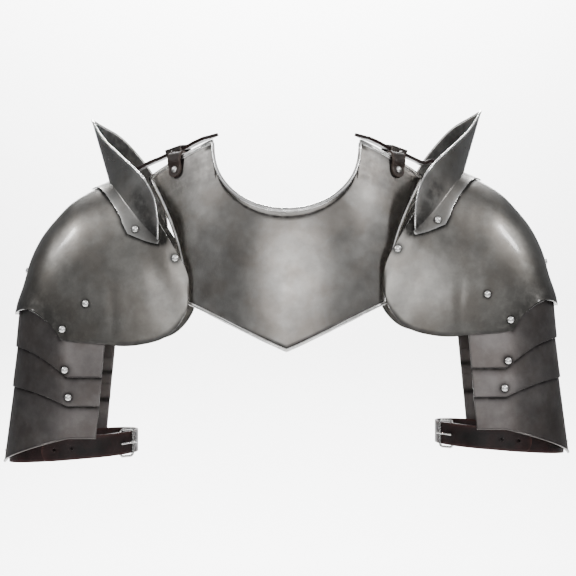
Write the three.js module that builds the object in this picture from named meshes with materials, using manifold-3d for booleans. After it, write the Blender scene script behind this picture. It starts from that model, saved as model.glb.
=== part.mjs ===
// A steel gorget plate with a pauldron on each shoulder.
// Millimetres, +Z up. The wearer faces -Y, X = 0 is the middle of the body, and the origin is between the
// shoulders at the height of the shoulder straps. Pieces are worked out for the +X side and mirrored.

import * as THREE from 'three';
import { mergeVertices } from 'three/addons/utils/BufferGeometryUtils.js';
import Module from 'manifold-3d';

const wasm = await Module();
wasm.setup();

// Stock and fits
const sheet = 1.2;
const leather = 2.6;
const platePlay = 0.7;
const seatGap = 0.3;
const holePlay = 0.35;

// Gorget plate
const gorget = {
  neckHalf: 79,
  neckTop: 7,
  neckDepth: 75,
  neckShare: 0.62,
  shoulderHalf: 152,
  shoulderZ: -31,
  hemHalf: 106,
  hemZ: -168,
  tipZ: -219,
  front: 112,
  girth: 185,
  lean: 12,
  sideHollow: 10,
  flange: 7,
  flangeTurn: 5,
  bead: 2.2,
};

// Shoulder cap: the crown line runs over the shoulder from neck end to outer corner, the hem line runs along
// the front lower edge, and ribs join them, mirrored front to back
const cap = {
  crownNeckX: 167,
  crownNeckZ: -21.5,
  crownOuterX: 297,
  crownOuterZ: -176,
  hemInnerX: 102.8,
  hemInnerZ: -148.6,
  hemOuterX: 241.6,
  hemDrop: 60,
  depth: 86,
  roundness: 2.3,
  outerArch: 68,
  neckArch: 45,
  neckBulge: 90,
};

// Each row is one rib, in shares: along and down the crown line, across and down the hem line, and its depth
const capRibs = [
  { along: 0.0, down: 0.0, across: 0.0, drop: 0.0, deep: 0.975 },
  { along: 0.04, down: 0.01, across: 0.015, drop: 0.335, deep: 1.0 },
  { along: 0.1, down: 0.03, across: 0.092, drop: 0.652, deep: 1.0 },
  { along: 0.17, down: 0.052, across: 0.2, drop: 0.863, deep: 1.0 },
  { along: 0.24, down: 0.078, across: 0.386, drop: 0.978, deep: 0.98 },
  { along: 0.323, down: 0.107, across: 0.534, drop: 0.997, deep: 0.955 },
  { along: 0.518, down: 0.203, across: 0.623, drop: 0.97, deep: 0.925 },
  { along: 0.653, down: 0.317, across: 0.696, drop: 0.957, deep: 0.9 },
  { along: 0.78, down: 0.452, across: 0.769, drop: 0.947, deep: 0.876 },
  { along: 0.873, down: 0.608, across: 0.835, drop: 0.94, deep: 0.856 },
  { along: 0.932, down: 0.786, across: 0.9, drop: 0.93, deep: 0.84 },
  { along: 0.983, down: 0.922, across: 0.959, drop: 0.907, deep: 0.826 },
  { along: 1.0, down: 1.0, across: 1.0, drop: 0.878, deep: 0.814 },
];

// Lames: the upper arm they cover, then each lame's lower edge as shares of the way down to the lowest one, at
// the crown and in front, how it bends between them, and its pivots in shares of the cap's hem
const arm = { outerX: 310.2, outerZ: -338.5, frontZ: -307.8 };
const lameTurnX = 234;
const lameTuck = 16;
const lameEar = 9;
const wingTopX = 194;
const wingLean = 0.093;
const wingShare = 0.22;
const lameShares = [
  { pivotAcross: 0.987, pivotDown: -0.1, out: 0, crownDown: 0.2135, frontDown: 0.385, bend: 1.8, rows: 3 },
  { pivotAcross: 0.9785, pivotDown: 0.31, out: 0.28, crownDown: 0.4806, frontDown: 0.675, bend: 1.8, rows: 3 },
  { pivotAcross: 0.9636, pivotDown: 0.585, out: 1, crownDown: 1, frontDown: 1, bend: 0.6, rows: 5 },
];
const capHemZ = cap.hemInnerZ - cap.hemDrop * capRibs.at(-1).drop;
const lames = lameShares.map((row) => ({
  pivotX: cap.hemOuterX * row.pivotAcross,
  pivotZ: capHemZ + (arm.frontZ - capHemZ) * row.pivotDown,
  crownX: cap.crownOuterX + (arm.outerX - cap.crownOuterX) * row.out,
  crownZ: cap.crownOuterZ + (arm.outerZ - cap.crownOuterZ) * row.crownDown,
  frontZ: capHemZ + (arm.frontZ - capHemZ) * row.frontDown,
  bend: row.bend,
  rows: row.rows,
}));

// Neck guard on the cap: where its base fold crosses the crown and where it ends in front, as shares of the
// rib range and degrees from the crown
const haute = {
  crownShare: 0.288,
  endShare: 0.068,
  endDegrees: 66,
  foldBend: 1.5,
  tipX: 213.4,
  tipZ: 38.5,
  height: 143,
  spread: 78,
  reach: 81,
  backRise: 21,
  flangeWidth: 20,
  standOff: 0.9,
};

// Rim of the guard from the front end to the tip, in shares of spread, height and reach, then how far the back
// half stands above the front half and how wide the base flange is
const hauteRim = [
  { at: 0.0, inward: 0.995, below: 0.935, forward: 1.02, rise: 0.0, flange: 0.22 },
  { at: 0.1, inward: 1.003, below: 0.87, forward: 1.03, rise: 0.04, flange: 0.6 },
  { at: 0.2, inward: 0.993, below: 0.773, forward: 0.993, rise: 0.12, flange: 1.0 },
  { at: 0.34, inward: 0.947, below: 0.618, forward: 0.938, rise: 0.3, flange: 0.66 },
  { at: 0.42, inward: 0.868, below: 0.535, forward: 0.889, rise: 0.45, flange: 0.6 },
  { at: 0.5, inward: 0.781, below: 0.462, forward: 0.815, rise: 0.6, flange: 0.57 },
  { at: 0.64, inward: 0.603, below: 0.37, forward: 0.642, rise: 0.85, flange: 0.6 },
  { at: 0.8, inward: 0.363, below: 0.252, forward: 0.42, rise: 1.0, flange: 0.7 },
  { at: 0.92, inward: 0.133, below: 0.132, forward: 0.198, rise: 0.6, flange: 0.8 },
  { at: 1.0, inward: 0.0, below: 0.0, forward: 0.0, rise: 0.0, flange: 0.87 },
];

// Each pauldron hangs on its own straps, so one sits a little higher
const hang = { left: -5, right: 5 };

// Rivets: domed heads, and through shanks where a plate turns on them
const rivet = { head: 3.7, dome: 2.7, shank: 1.5, tail: 1.2, pinTail: 3.3, boreDepth: 12, sides: 9 };

// Rivets in the front wing of the cap, mirrored to the back wing: rib share and degrees from the crown. The
// guard's are at a station of its fold and a share of its flange
const capRivets = [
  { name: 'wing_rivet', rib: 0.0293, turn: -77.4 },
  { name: 'cap_rivet', rib: 0.569, turn: -75.2 },
];
const hauteRivet = { station: -0.8, share: 0.5 };
const sideRivetShare = 0.786;
const strapRivetShare = 0.115;

// Shoulder strap: the line of its under side, then the box loop and the tab that hold it to the plate
// Shares: out from the plate's neck corner to the cap's neck end, back from the plate's front, and down
const shoulderStrap = { width: 24, steps: 24 };
const strapLine = [
  { out: 0.02, back: 0.36, down: -0.12 },
  { out: 0.2, back: 0.225, down: 0.08 },
  { out: 0.37, back: 0.138, down: 0.31 },
  { out: 0.52, back: 0.094, down: 0.47 },
  { out: 0.66, back: 0.072, down: 0.66 },
  { out: 0.79, back: 0.055, down: 0.82 },
  { out: 0.91, back: 0.027, down: 0.88 },
];
const loopStation = 0.4;
const loop = { length: 19, wall: 1.4, play: 1.1, rise: 2.4 };
const tab = { width: 17, x: 118.5, rivetZ: -25, end: 8, reach: 5 };

// Arm strap: a loop round the arm inside the lowest lame, whose free end overlaps its start past the buckle
const armStrap = {
  height: 24,
  outerX: 304.6,
  innerX: 167,
  innerTurnX: 214,
  tilt: 0.087,
  innerZ: -315.5,
  layerGap: 0.5,
  overlap: 85,
  hole: 1.9,
  holePitch: 18,
  rise: 0.16,
};
const buckleShare = 0.61;
const buckle = { wire: 1.4, length: 15, rim: 1.2, prong: 1.1 };

const steel = { color: 0x7d7b77, roughness: 0.38, metalness: 1 };
const darkSteel = { color: 0x6a6663, roughness: 0.42, metalness: 1 };
const brightSteel = { color: 0xb9b8b4, roughness: 0.3, metalness: 1 };
const blackLeather = { color: 0x2a1c1a, roughness: 0.7, metalness: 0 };
const brownLeather = { color: 0x4a342b, roughness: 0.75, metalness: 0 };

const degrees = Math.PI / 180;
const lerp = THREE.MathUtils.lerp;

// Closed meshes

function geometryFrom(positions, index) {
  const geometry = new THREE.BufferGeometry();
  geometry.setAttribute('position', new THREE.Float32BufferAttribute(positions, 3));
  geometry.setIndex(index);
  return geometry;
}

function normalOnGrid(grid, i, j) {
  const down = grid[Math.min(i + 1, grid.length - 1)][j].clone().sub(grid[Math.max(i - 1, 0)][j]);
  const across = grid[i][Math.min(j + 1, grid[i].length - 1)].clone().sub(grid[i][Math.max(j - 1, 0)]);
  return down.cross(across).normalize();
}

// A sheet of metal from a grid of points on its outer face; bead(i, j) swells it on both faces
function sheetSolid(grid, thickness, bead = () => 0) {
  const rows = grid.length;
  const columns = grid[0].length;
  const positions = [];
  const index = [];
  for (const face of [0, 1]) {
    for (let i = 0; i < rows; i++) {
      for (let j = 0; j < columns; j++) {
        const offset = face ? -thickness - bead(i, j) : bead(i, j);
        positions.push(...normalOnGrid(grid, i, j).multiplyScalar(offset).add(grid[i][j]));
      }
    }
  }
  const at = (face, i, j) => (face * rows + i) * columns + j;
  const quad = (a, b, c, d) => index.push(a, b, c, a, c, d);
  for (let i = 0; i + 1 < rows; i++) {
    for (let j = 0; j + 1 < columns; j++) {
      quad(at(0, i, j), at(0, i + 1, j), at(0, i + 1, j + 1), at(0, i, j + 1));
      quad(at(1, i, j), at(1, i, j + 1), at(1, i + 1, j + 1), at(1, i + 1, j));
    }
    quad(at(0, i, 0), at(1, i, 0), at(1, i + 1, 0), at(0, i + 1, 0));
    const last = columns - 1;
    quad(at(0, i + 1, last), at(1, i + 1, last), at(1, i, last), at(0, i, last));
  }
  for (let j = 0; j + 1 < columns; j++) {
    quad(at(0, 0, j + 1), at(1, 0, j + 1), at(1, 0, j), at(0, 0, j));
    const last = rows - 1;
    quad(at(0, last, j), at(1, last, j), at(1, last, j + 1), at(0, last, j + 1));
  }
  return geometryFrom(positions, index);
}

// A strap: at each step a rectangle spanned by a width vector and the outward side
function bandSolid(steps, thickness) {
  const positions = [];
  const index = [];
  const quad = (a, b, c, d) => index.push(a, b, c, a, c, d);
  for (const { point, half, out } of steps) {
    const lift = out.clone().multiplyScalar(thickness);
    positions.push(...point.clone().add(half));
    positions.push(...point.clone().add(half).add(lift));
    positions.push(...point.clone().sub(half).add(lift));
    positions.push(...point.clone().sub(half));
  }
  for (let i = 0; i + 1 < steps.length; i++) {
    for (let side = 0; side < 4; side++) {
      const next = (side + 1) % 4;
      quad(4 * i + side, 4 * i + next, 4 * i + 4 + next, 4 * i + 4 + side);
    }
  }
  const end = 4 * (steps.length - 1);
  quad(0, 3, 2, 1);
  quad(end, end + 1, end + 2, end + 3);
  return facingOut(geometryFrom(positions, index));
}

// A wire bent to a closed loop
function ringSolid(points, radius, sides) {
  const positions = [];
  const index = [];
  const middle = points.reduce((sum, p) => sum.add(p), new THREE.Vector3()).divideScalar(points.length);
  const across = points[0].clone().sub(middle);
  const plane = across.cross(points[Math.floor(points.length / 4)].clone().sub(middle)).normalize();
  points.forEach((point, i) => {
    const ahead = points[(i + 1) % points.length];
    const behind = points[(i - 1 + points.length) % points.length];
    const side = ahead.clone().sub(behind).normalize().cross(plane).normalize();
    for (let k = 0; k < sides; k++) {
      const turn = (2 * Math.PI * k) / sides;
      const offset = side.clone().multiplyScalar(Math.cos(turn)).addScaledVector(plane, Math.sin(turn));
      positions.push(...point.clone().addScaledVector(offset, radius));
    }
  });
  points.forEach((_, i) => {
    const here = i * sides;
    const next = ((i + 1) % points.length) * sides;
    for (let k = 0; k < sides; k++) {
      const up = (k + 1) % sides;
      index.push(here + k, next + k, next + up, here + k, next + up, here + up);
    }
  });
  return facingOut(geometryFrom(positions, index));
}

function signedVolume(geometry) {
  const position = geometry.getAttribute('position');
  const [a, b, c] = [new THREE.Vector3(), new THREE.Vector3(), new THREE.Vector3()];
  let volume = 0;
  for (let i = 0; i < geometry.index.count; i += 3) {
    a.fromBufferAttribute(position, geometry.index.getX(i));
    b.fromBufferAttribute(position, geometry.index.getX(i + 1));
    c.fromBufferAttribute(position, geometry.index.getX(i + 2));
    volume += a.dot(b.cross(c)) / 6;
  }
  return volume;
}

function reversed(geometry) {
  const index = Array.from(geometry.index.array);
  for (let i = 0; i < index.length; i += 3) {
    [index[i + 1], index[i + 2]] = [index[i + 2], index[i + 1]];
  }
  geometry.setIndex(index);
  return geometry;
}

function facingOut(geometry) {
  return signedVolume(geometry) < 0 ? reversed(geometry) : geometry;
}

function bare(geometry) {
  const plain = geometry.clone();
  plain.deleteAttribute('normal');
  plain.deleteAttribute('uv');
  return mergeVertices(plain, 1e-4);
}

function solidOf(geometry) {
  const plain = bare(geometry);
  const vertProperties = new Float32Array(plain.getAttribute('position').array);
  const triVerts = new Uint32Array(plain.index.array);
  return new wasm.Manifold(new wasm.Mesh({ numProp: 3, vertProperties, triVerts }));
}

function cutBy(geometry, cutters) {
  let solid = solidOf(geometry);
  for (const cutter of cutters) {
    solid = solid.subtract(solidOf(cutter));
  }
  const mesh = solid.getMesh();
  return geometryFrom(Array.from(mesh.vertProperties), Array.from(mesh.triVerts));
}

// Gorget plate

function gorgetDepth(x, z) {
  const g = gorget;
  const rise = Math.max(0, (z - g.tipZ) / (-g.neckDepth + g.neckTop - g.tipZ));
  return -g.front + g.lean * rise ** 2.6 + g.girth - Math.sqrt(g.girth ** 2 - x ** 2);
}

// Upper boundary for across from -1 to 1: shoulder edge, neck curve, shoulder edge
function gorgetTop(across) {
  const g = gorget;
  const share = Math.abs(across);
  const side = Math.sign(across);
  if (share > g.neckShare) {
    const out = (share - g.neckShare) / (1 - g.neckShare);
    return [side * lerp(g.neckHalf, g.shoulderHalf, out), lerp(g.neckTop, g.shoulderZ, out ** 1.15)];
  }
  const turn = (share / g.neckShare) * 90 * degrees;
  return [side * g.neckHalf * Math.sin(turn), g.neckTop - g.neckDepth * Math.cos(turn) ** 0.85];
}

function gorgetHem(across) {
  const g = gorget;
  return [across * g.hemHalf, lerp(g.tipZ, g.hemZ, Math.abs(across) ** 1.04)];
}

// Distances from an edge at which the rolled bead is sampled
function beadSteps() {
  const r = gorget.bead;
  return [0, 0.35 * r, r, 1.65 * r, 2.1 * r];
}

function beadRise(distance) {
  const r = gorget.bead;
  return distance < 2 * r ? Math.sqrt(Math.max(0, r * r - (distance - r) ** 2)) * 0.8 : 0;
}

// Shares of a line of the given length, close together at both ends where the bead is, even between
function beadedShares(length, inner) {
  const near = beadSteps().map((d) => d / length);
  const far = near.map((s) => 1 - s).reverse();
  const last = near.at(-1);
  const middle = [];
  for (let k = 1; k < inner; k++) {
    middle.push(lerp(last, 1 - last, k / inner));
  }
  return [...near, ...middle, ...far];
}

// Columns from side to side: close together at the bead, with one on each neck corner and one on the tip
function gorgetColumns(sideLength) {
  const near = beadSteps().map((d) => 1 - (2 * d) / sideLength);
  const half = [...near];
  for (let k = 1; k <= 3; k++) {
    half.push(lerp(near.at(-1), gorget.neckShare, k / 3));
  }
  for (let k = 1; k <= 5; k++) {
    half.push(lerp(gorget.neckShare, 0, k / 5));
  }
  return [...half.map((share) => -share), ...half.slice(0, -1).reverse()];
}

function gorgetPlate() {
  const g = gorget;
  const sideLength = 2 * g.hemHalf * 1.2;
  const columns = gorgetColumns(sideLength);
  const grid = [];
  const swell = [];
  const rowCount = beadedShares(100, 6).length;
  for (let i = 0; i < rowCount; i++) {
    grid.push([]);
    swell.push([]);
  }
  columns.forEach((across) => {
    const [topX, topZ] = gorgetTop(across);
    const [hemX, hemZ] = gorgetHem(across);
    const length = Math.hypot(topX - hemX, topZ - hemZ);
    beadedShares(length, 6).forEach((share, i) => {
      const hollow = g.sideHollow * Math.abs(across) ** 4 * Math.sin(share * Math.PI);
      const x = lerp(topX, hemX, share) - Math.sign(across) * hollow;
      const z = lerp(topZ, hemZ, share);
      const inside = share * length;
      const atNeck = Math.abs(topX) < g.neckHalf ? 1 : Math.max(0, 1 - (Math.abs(topX) - g.neckHalf) / 12);
      const turn = g.flangeTurn * atNeck * Math.max(0, 1 - inside / g.flange);
      grid[i].push(new THREE.Vector3(x, gorgetDepth(x, z) - turn, z));
      const toSide = ((1 - Math.abs(across)) * sideLength) / 2;
      const edge = Math.min(inside, length - inside, toSide);
      swell[i].push(beadRise(edge));
    });
  });
  return facingOut(sheetSolid(grid, sheet, (i, j) => swell[i][j]));
}

// Shoulder cap

const crownLine = new THREE.CatmullRomCurve3(
  capRibs.map(
    (rib) =>
      new THREE.Vector3(
        lerp(cap.crownNeckX, cap.crownOuterX, rib.along),
        0,
        lerp(cap.crownNeckZ, cap.crownOuterZ, rib.down),
      ),
  ),
);
const hemLine = new THREE.CatmullRomCurve3(
  capRibs.map(
    (rib) =>
      new THREE.Vector3(
        lerp(cap.hemInnerX, cap.hemOuterX, rib.across),
        -cap.depth * rib.deep,
        cap.hemInnerZ - cap.hemDrop * rib.drop,
      ),
  ),
);

// A point on the cap's outer face: rib from 0 at the neck to 1 at the lower edge, turn from -90 degrees at the
// front hem over 0 at the crown to 90 at the back hem
function capPoint(rib, turn) {
  const crown = crownLine.getPoint(rib);
  const hem = hemLine.getPoint(rib);
  const power = 2 / cap.roundness;
  const fall = 1 - Math.cos(Math.abs(turn) * degrees) ** power;
  const deep = Math.sin(Math.abs(turn) * degrees) ** power;
  const lowArch = cap.outerArch * fall * (1 - fall) * rib ** 6;
  const neckArch = cap.neckArch * fall * fall * (1 - fall) * (1 - rib) ** 8;
  const neckBulge = cap.neckBulge * fall ** 6 * (1 - fall) * (1 - rib) ** 8;
  return new THREE.Vector3(
    lerp(crown.x, hem.x, fall) - neckBulge,
    Math.sign(turn) * -hem.y * deep,
    lerp(crown.z, hem.z, fall) + lowArch + neckArch,
  );
}

function capNormal(rib, turn) {
  const step = 0.01;
  const along = capPoint(Math.min(1, rib + step), turn).sub(capPoint(Math.max(0, rib - step), turn));
  const around = capPoint(rib, turn + 1).sub(capPoint(rib, turn - 1));
  return along.cross(around).normalize();
}

// The rib and turn of the cap's front face at a given x and z, closed in on by steps
function capPlace(x, z) {
  let [rib, turn] = [0.5, -70];
  for (let round = 0; round < 40; round++) {
    const here = capPoint(rib, turn);
    const byRib = capPoint(rib + 0.001, turn).sub(here).multiplyScalar(1000);
    const byTurn = capPoint(rib, turn + 0.1).sub(here).multiplyScalar(10);
    const size = byRib.x * byTurn.z - byRib.z * byTurn.x;
    const [dx, dz] = [x - here.x, z - here.z];
    rib = THREE.MathUtils.clamp(rib + (0.6 * (dx * byTurn.z - dz * byTurn.x)) / size, 0.001, 0.998);
    turn = THREE.MathUtils.clamp(turn + (0.6 * (byRib.x * dz - byRib.z * dx)) / size, -89, -1);
  }
  return { rib, turn };
}

function capGrid() {
  const ribs = 15;
  const turns = 16;
  const grid = [];
  for (let i = 0; i <= ribs; i++) {
    const row = [];
    for (let j = 0; j <= turns; j++) {
      row.push(capPoint(i / ribs, lerp(-90, 90, j / turns)));
    }
    grid.push(row);
  }
  return grid;
}

// Neck guard

const rimColumns = ['inward', 'below', 'forward', 'rise', 'flange'];

function hauteRow(at) {
  const next = Math.max(1, hauteRim.findIndex((row) => row.at >= at - 1e-9));
  const [low, high] = [hauteRim[next - 1], hauteRim[next]];
  const share = (at - low.at) / (high.at - low.at);
  return Object.fromEntries(rimColumns.map((key) => [key, lerp(low[key], high[key], share)]));
}

// Station from -1 at the front end over 0 at the crown to 1 at the back end
function hauteFold(station) {
  const away = Math.abs(station);
  const rib = haute.crownShare - (haute.crownShare - haute.endShare) * away ** haute.foldBend;
  return { rib, turn: station * haute.endDegrees };
}

function hauteRimPoint(station) {
  const row = hauteRow(1 - Math.abs(station));
  const back = station > 0 ? 1 : -1;
  return new THREE.Vector3(
    haute.tipX - haute.spread * row.inward,
    back * haute.reach * row.forward,
    haute.tipZ - haute.height * row.below + (station > 0 ? haute.backRise * row.rise : 0),
  );
}

// The place on the cap a share of the flange's width out from the fold
function flangePlace(station, share) {
  const { rib, turn } = hauteFold(station);
  const step = 0.02;
  const ribScale = capPoint(rib + step, turn).distanceTo(capPoint(rib, turn)) / step;
  const width = haute.flangeWidth * hauteRow(1 - Math.abs(station)).flange;
  return { rib: rib + (share * width) / ribScale, turn };
}

function flangePoint(station, share, lift) {
  const { rib, turn } = flangePlace(station, share);
  return capPoint(rib, turn).addScaledVector(capNormal(rib, turn), lift);
}

function hautePiece() {
  const stations = 20;
  const wallRows = 5;
  const lift = seatGap + haute.standOff;
  const grid = [];
  for (let i = 0; i <= stations; i++) {
    const station = lerp(-1, 1, i / stations);
    const { rib, turn } = hauteFold(station);
    const fold = capPoint(rib, turn).addScaledVector(capNormal(rib, turn), lift);
    const rim = hauteRimPoint(station);
    const row = [];
    for (let k = 0; k < wallRows; k++) {
      const share = k / wallRows;
      row.push(rim.clone().lerp(fold, share));
    }
    for (const share of [0.08, 0.5, 1]) {
      row.push(flangePoint(station, share, lift));
    }
    grid.push(row);
  }
  return sheetSolid(grid, sheet);
}

// Lames

function lameDepth(k) {
  return cap.depth * capRibs.at(-1).deep - (k + 1) * (sheet + platePlay);
}

function lameShape(k) {
  const lame = lames[k];
  const above = k ? lames[k - 1] : { crownX: cap.crownOuterX, crownZ: cap.crownOuterZ };
  const topZ = above.crownZ + lameTuck;
  return {
    ...lame,
    depth: lameDepth(k),
    topZ,
    topX: above.crownX - 2 * (sheet + platePlay) - (k ? 0 : 1),
    earZ: lame.pivotZ + lameEar,
  };
}

// Around is -1 at the front inner edge, 0 at the crown, 1 at the back inner edge; down is 0 at the upper edge
function lamePoint(shape, around, down) {
  const away = Math.abs(around);
  const side = Math.sign(around);
  const onWing = away > 1 - wingShare;
  const turn = onWing ? 90 : (away / (1 - wingShare)) * 90;
  const share = 1 - Math.cos(turn * degrees);
  const top = lerp(shape.topZ, shape.earZ, share ** 1.3);
  const bottom = lerp(shape.crownZ, shape.frontZ, share ** shape.bend);
  const z = lerp(top, bottom, down);
  const crownX = lerp(shape.topX, shape.crownX, (shape.topZ - z) / (shape.topZ - shape.crownZ));
  const edgeX = wingTopX + wingLean * (cap.hemInnerZ - cap.hemDrop - z);
  const wing = onWing ? (away - 1 + wingShare) / wingShare : 0;
  const x = onWing ? lerp(lameTurnX, edgeX, wing) : lameTurnX + (crownX - lameTurnX) * Math.cos(turn * degrees);
  return new THREE.Vector3(x, side * shape.depth * Math.sin(turn * degrees), z);
}

function lameStations() {
  const quarter = 8;
  const stations = [-1, -1 + wingShare / 2];
  for (let i = -quarter; i <= quarter; i++) {
    stations.push((i / quarter) * (1 - wingShare));
  }
  return [...stations, 1 - wingShare / 2, 1];
}

function lamePlate(k) {
  const shape = lameShape(k);
  const grid = [];
  for (let i = 0; i <= shape.rows; i++) {
    grid.push(lameStations().map((around) => lamePoint(shape, around, i / shape.rows)));
  }
  return facingOut(sheetSolid(grid, sheet));
}

// Rivets

function rivetGeometry(length) {
  const r = rivet;
  const profile = [
    [0, r.dome],
    [r.head * 0.68, r.dome * 0.76],
    [r.head, 0],
    ...(length ? [[r.shank, 0], [r.shank, -length]] : []),
    [0, -length],
  ];
  const outline = profile.map(([x, y]) => new THREE.Vector2(x, y));
  return facingOut(bare(new THREE.LatheGeometry(outline, r.sides)));
}

function boreAlongY(x, y, z, radius) {
  const bore = new THREE.CylinderGeometry(radius, radius, rivet.boreDepth, rivet.sides);
  bore.translate(x, y, z);
  return bore;
}

// Bores for the pivots of the given lames, front and back, at the given depth
function pivotBores(indexes, depth) {
  return indexes.flatMap((k) =>
    [-1, 1].map((face) =>
      boreAlongY(lames[k].pivotX, face * depth, lames[k].pivotZ, rivet.shank + holePlay),
    ),
  );
}

function capFaceAt(x, z) {
  const { rib, turn } = capPlace(x, z);
  return { seat: capPoint(rib, turn), out: capNormal(rib, turn) };
}

// How far a pivot rivet's flat head stands off the middle plane: clear of the plate's slope under it
function pivotHeadDepth(k) {
  if (k > 0) {
    return lameDepth(k - 1) + seatGap;
  }
  const reach = rivet.head;
  const { pivotX: x, pivotZ: z } = lames[0];
  const rim = [0, 1, 2, 3, 4, 5, 6, 7].map((i) => {
    const turn = i * 45 * degrees;
    return -capFaceAt(x + reach * Math.cos(turn), z + reach * Math.sin(turn)).seat.y;
  });
  return Math.max(...rim) + seatGap / 2;
}

// Shoulder strap

function strapCurve(lift) {
  const under = strapLine.map(
    ({ out, back, down }) =>
      new THREE.Vector3(
        lerp(gorget.neckHalf, cap.crownNeckX, out),
        -gorget.front * back,
        lerp(gorget.neckTop, cap.crownNeckZ, down),
      ),
  );
  under.at(-1).z += 0.7 * lift;
  for (const share of [0.4, 1, 1.7].map((s) => s * strapRivetShare)) {
    const point = capPoint(share, 0).addScaledVector(capNormal(share, 0), 2 * seatGap);
    under.push(new THREE.Vector3(point.x, 0, point.z + lift));
  }
  return new THREE.CatmullRomCurve3(under);
}

// Along the strap, across it, and up from its face, which lies level from front to back
function strapFrame(curve, share) {
  const along = curve.getTangentAt(share);
  const up = new THREE.Vector3(-along.z, 0, along.x).normalize();
  const across = up.clone().cross(along).normalize();
  up.crossVectors(along, across);
  return { point: curve.getPointAt(share), along, across, up };
}

function strapSteps(lift) {
  const curve = strapCurve(lift);
  const steps = [];
  for (let i = 0; i <= shoulderStrap.steps; i++) {
    const { point, across, up } = strapFrame(curve, i / shoulderStrap.steps);
    steps.push({ point, half: across.multiplyScalar(shoulderStrap.width / 2), out: up });
  }
  return steps;
}

// A box loop round the strap, its length along X before it is turned to the strap: close at the strap's sides and
// with room above and below it
function loopGeometry() {
  const inner = { wide: shoulderStrap.width + 2 * loop.play, high: leather + 2 * loop.rise };
  const frame = rectangle(inner.wide + 2 * loop.wall, inner.high + 2 * loop.wall);
  frame.holes.push(rectangle(inner.wide, inner.high));
  const geometry = new THREE.ExtrudeGeometry(frame, { depth: loop.length, bevelEnabled: false, steps: 1 });
  geometry.translate(0, 0, -loop.length / 2);
  geometry.rotateX(Math.PI / 2);
  geometry.rotateZ(Math.PI / 2);
  return geometry;
}

function rectangle(wide, high) {
  const shape = new THREE.Shape();
  shape.moveTo(-wide / 2, -high / 2);
  shape.lineTo(wide / 2, -high / 2);
  shape.lineTo(wide / 2, high / 2);
  shape.lineTo(-wide / 2, high / 2);
  shape.closePath();
  return shape;
}

function tabFace(z) {
  const step = 0.5;
  const slopeX = (gorgetDepth(tab.x + step, z) - gorgetDepth(tab.x - step, z)) / (2 * step);
  const slopeZ = (gorgetDepth(tab.x, z + step) - gorgetDepth(tab.x, z - step)) / (2 * step);
  const seat = new THREE.Vector3(tab.x, gorgetDepth(tab.x, z), z);
  const across = new THREE.Vector3(1, slopeX, 0).normalize();
  const out = new THREE.Vector3(slopeX, -1, slopeZ).normalize();
  return { seat, across, out };
}

// The tab climbs the front of the plate from its round end, folds back over the edge and ends under the loop
function tabSteps(loopFrame) {
  const g = gorget;
  const edgeAt = (x) => lerp(g.neckTop, g.shoulderZ, ((x - g.neckHalf) / (g.shoulderHalf - g.neckHalf)) ** 1.15);
  const highEdge = edgeAt(tab.x - 0.4 * tab.width);
  const onPlate = (z, off) => {
    const { seat, out } = tabFace(z);
    return seat.addScaledVector(out, off);
  };
  const settle = 1.6 * seatGap;
  const under = leather / 2 + loop.rise + loop.wall + 2 * seatGap + leather;
  const below = (across) =>
    loopFrame.point.clone().addScaledVector(loopFrame.up, -under).addScaledVector(loopFrame.across, across);
  const overEdge = tabFace(highEdge);
  const loopFront = shoulderStrap.width / 2 + loop.play + loop.wall;
  const line = new THREE.CatmullRomCurve3([
    onPlate(tab.rivetZ - tab.end, settle),
    onPlate(tab.rivetZ, settle),
    onPlate(edgeAt(tab.x) - 4.6 * g.bead, 1.2 * settle),
    onPlate(edgeAt(tab.x) - 1.7 * g.bead, g.bead + settle),
    overEdge.seat.clone().addScaledVector(overEdge.out, 0.4 * g.bead).setZ(highEdge + settle),
    overEdge.seat.clone().addScaledVector(overEdge.out, -sheet - g.bead).setZ(highEdge + settle),
    below(-loopFront),
    below(-loopFront / 2),
    below(tab.reach),
  ]);
  const across = tabFace(tab.rivetZ).across;
  const count = 20;
  const roundEnd = 0.13;
  const steps = [];
  for (let i = 0; i <= count; i++) {
    const share = i / count;
    const tangent = line.getTangentAt(share);
    const turned = THREE.MathUtils.smoothstep(share, 0.35, 0.6);
    const half = across.clone().lerp(loopFrame.along, turned).projectOnPlane(tangent).normalize();
    const out = half.clone().cross(tangent).normalize();
    const rounding = Math.sqrt(1 - Math.max(0, 0.92 - share / roundEnd) ** 2);
    steps.push({ point: line.getPointAt(share), half: half.multiplyScalar((tab.width / 2) * rounding), out });
  }
  return steps;
}

// Arm strap

function armLoop() {
  const depth = lameDepth(2) - sheet - 2 * leather - armStrap.layerGap - 3 * seatGap;
  const path = new THREE.Path();
  const outerHalf = armStrap.outerX - leather - lameTurnX;
  path.absellipse(lameTurnX, 0, outerHalf, depth, 0, Math.PI / 2);
  path.lineTo(armStrap.innerTurnX, depth);
  path.absellipse(armStrap.innerTurnX, 0, armStrap.innerTurnX - armStrap.innerX, depth, Math.PI / 2, 1.5 * Math.PI);
  path.lineTo(lameTurnX, -depth);
  path.absellipse(lameTurnX, 0, outerHalf, depth, 1.5 * Math.PI, 2 * Math.PI);
  return path;
}

// Share of the loop from the crown, over the back, to the inner side and the front; beyond 1 it laps over
function armPlace(share, lift) {
  const path = armLoop();
  const whole = ((share % 1) + 1) % 1;
  const flat = path.getPointAt(whole);
  const tangent = path.getTangentAt(whole);
  const out = new THREE.Vector3(tangent.y, -tangent.x, 0).normalize();
  const z = armStrap.innerZ - armStrap.tilt * (flat.x - wingTopX);
  return {
    point: new THREE.Vector3(flat.x, flat.y, z).addScaledVector(out, lift),
    out,
  };
}

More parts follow.
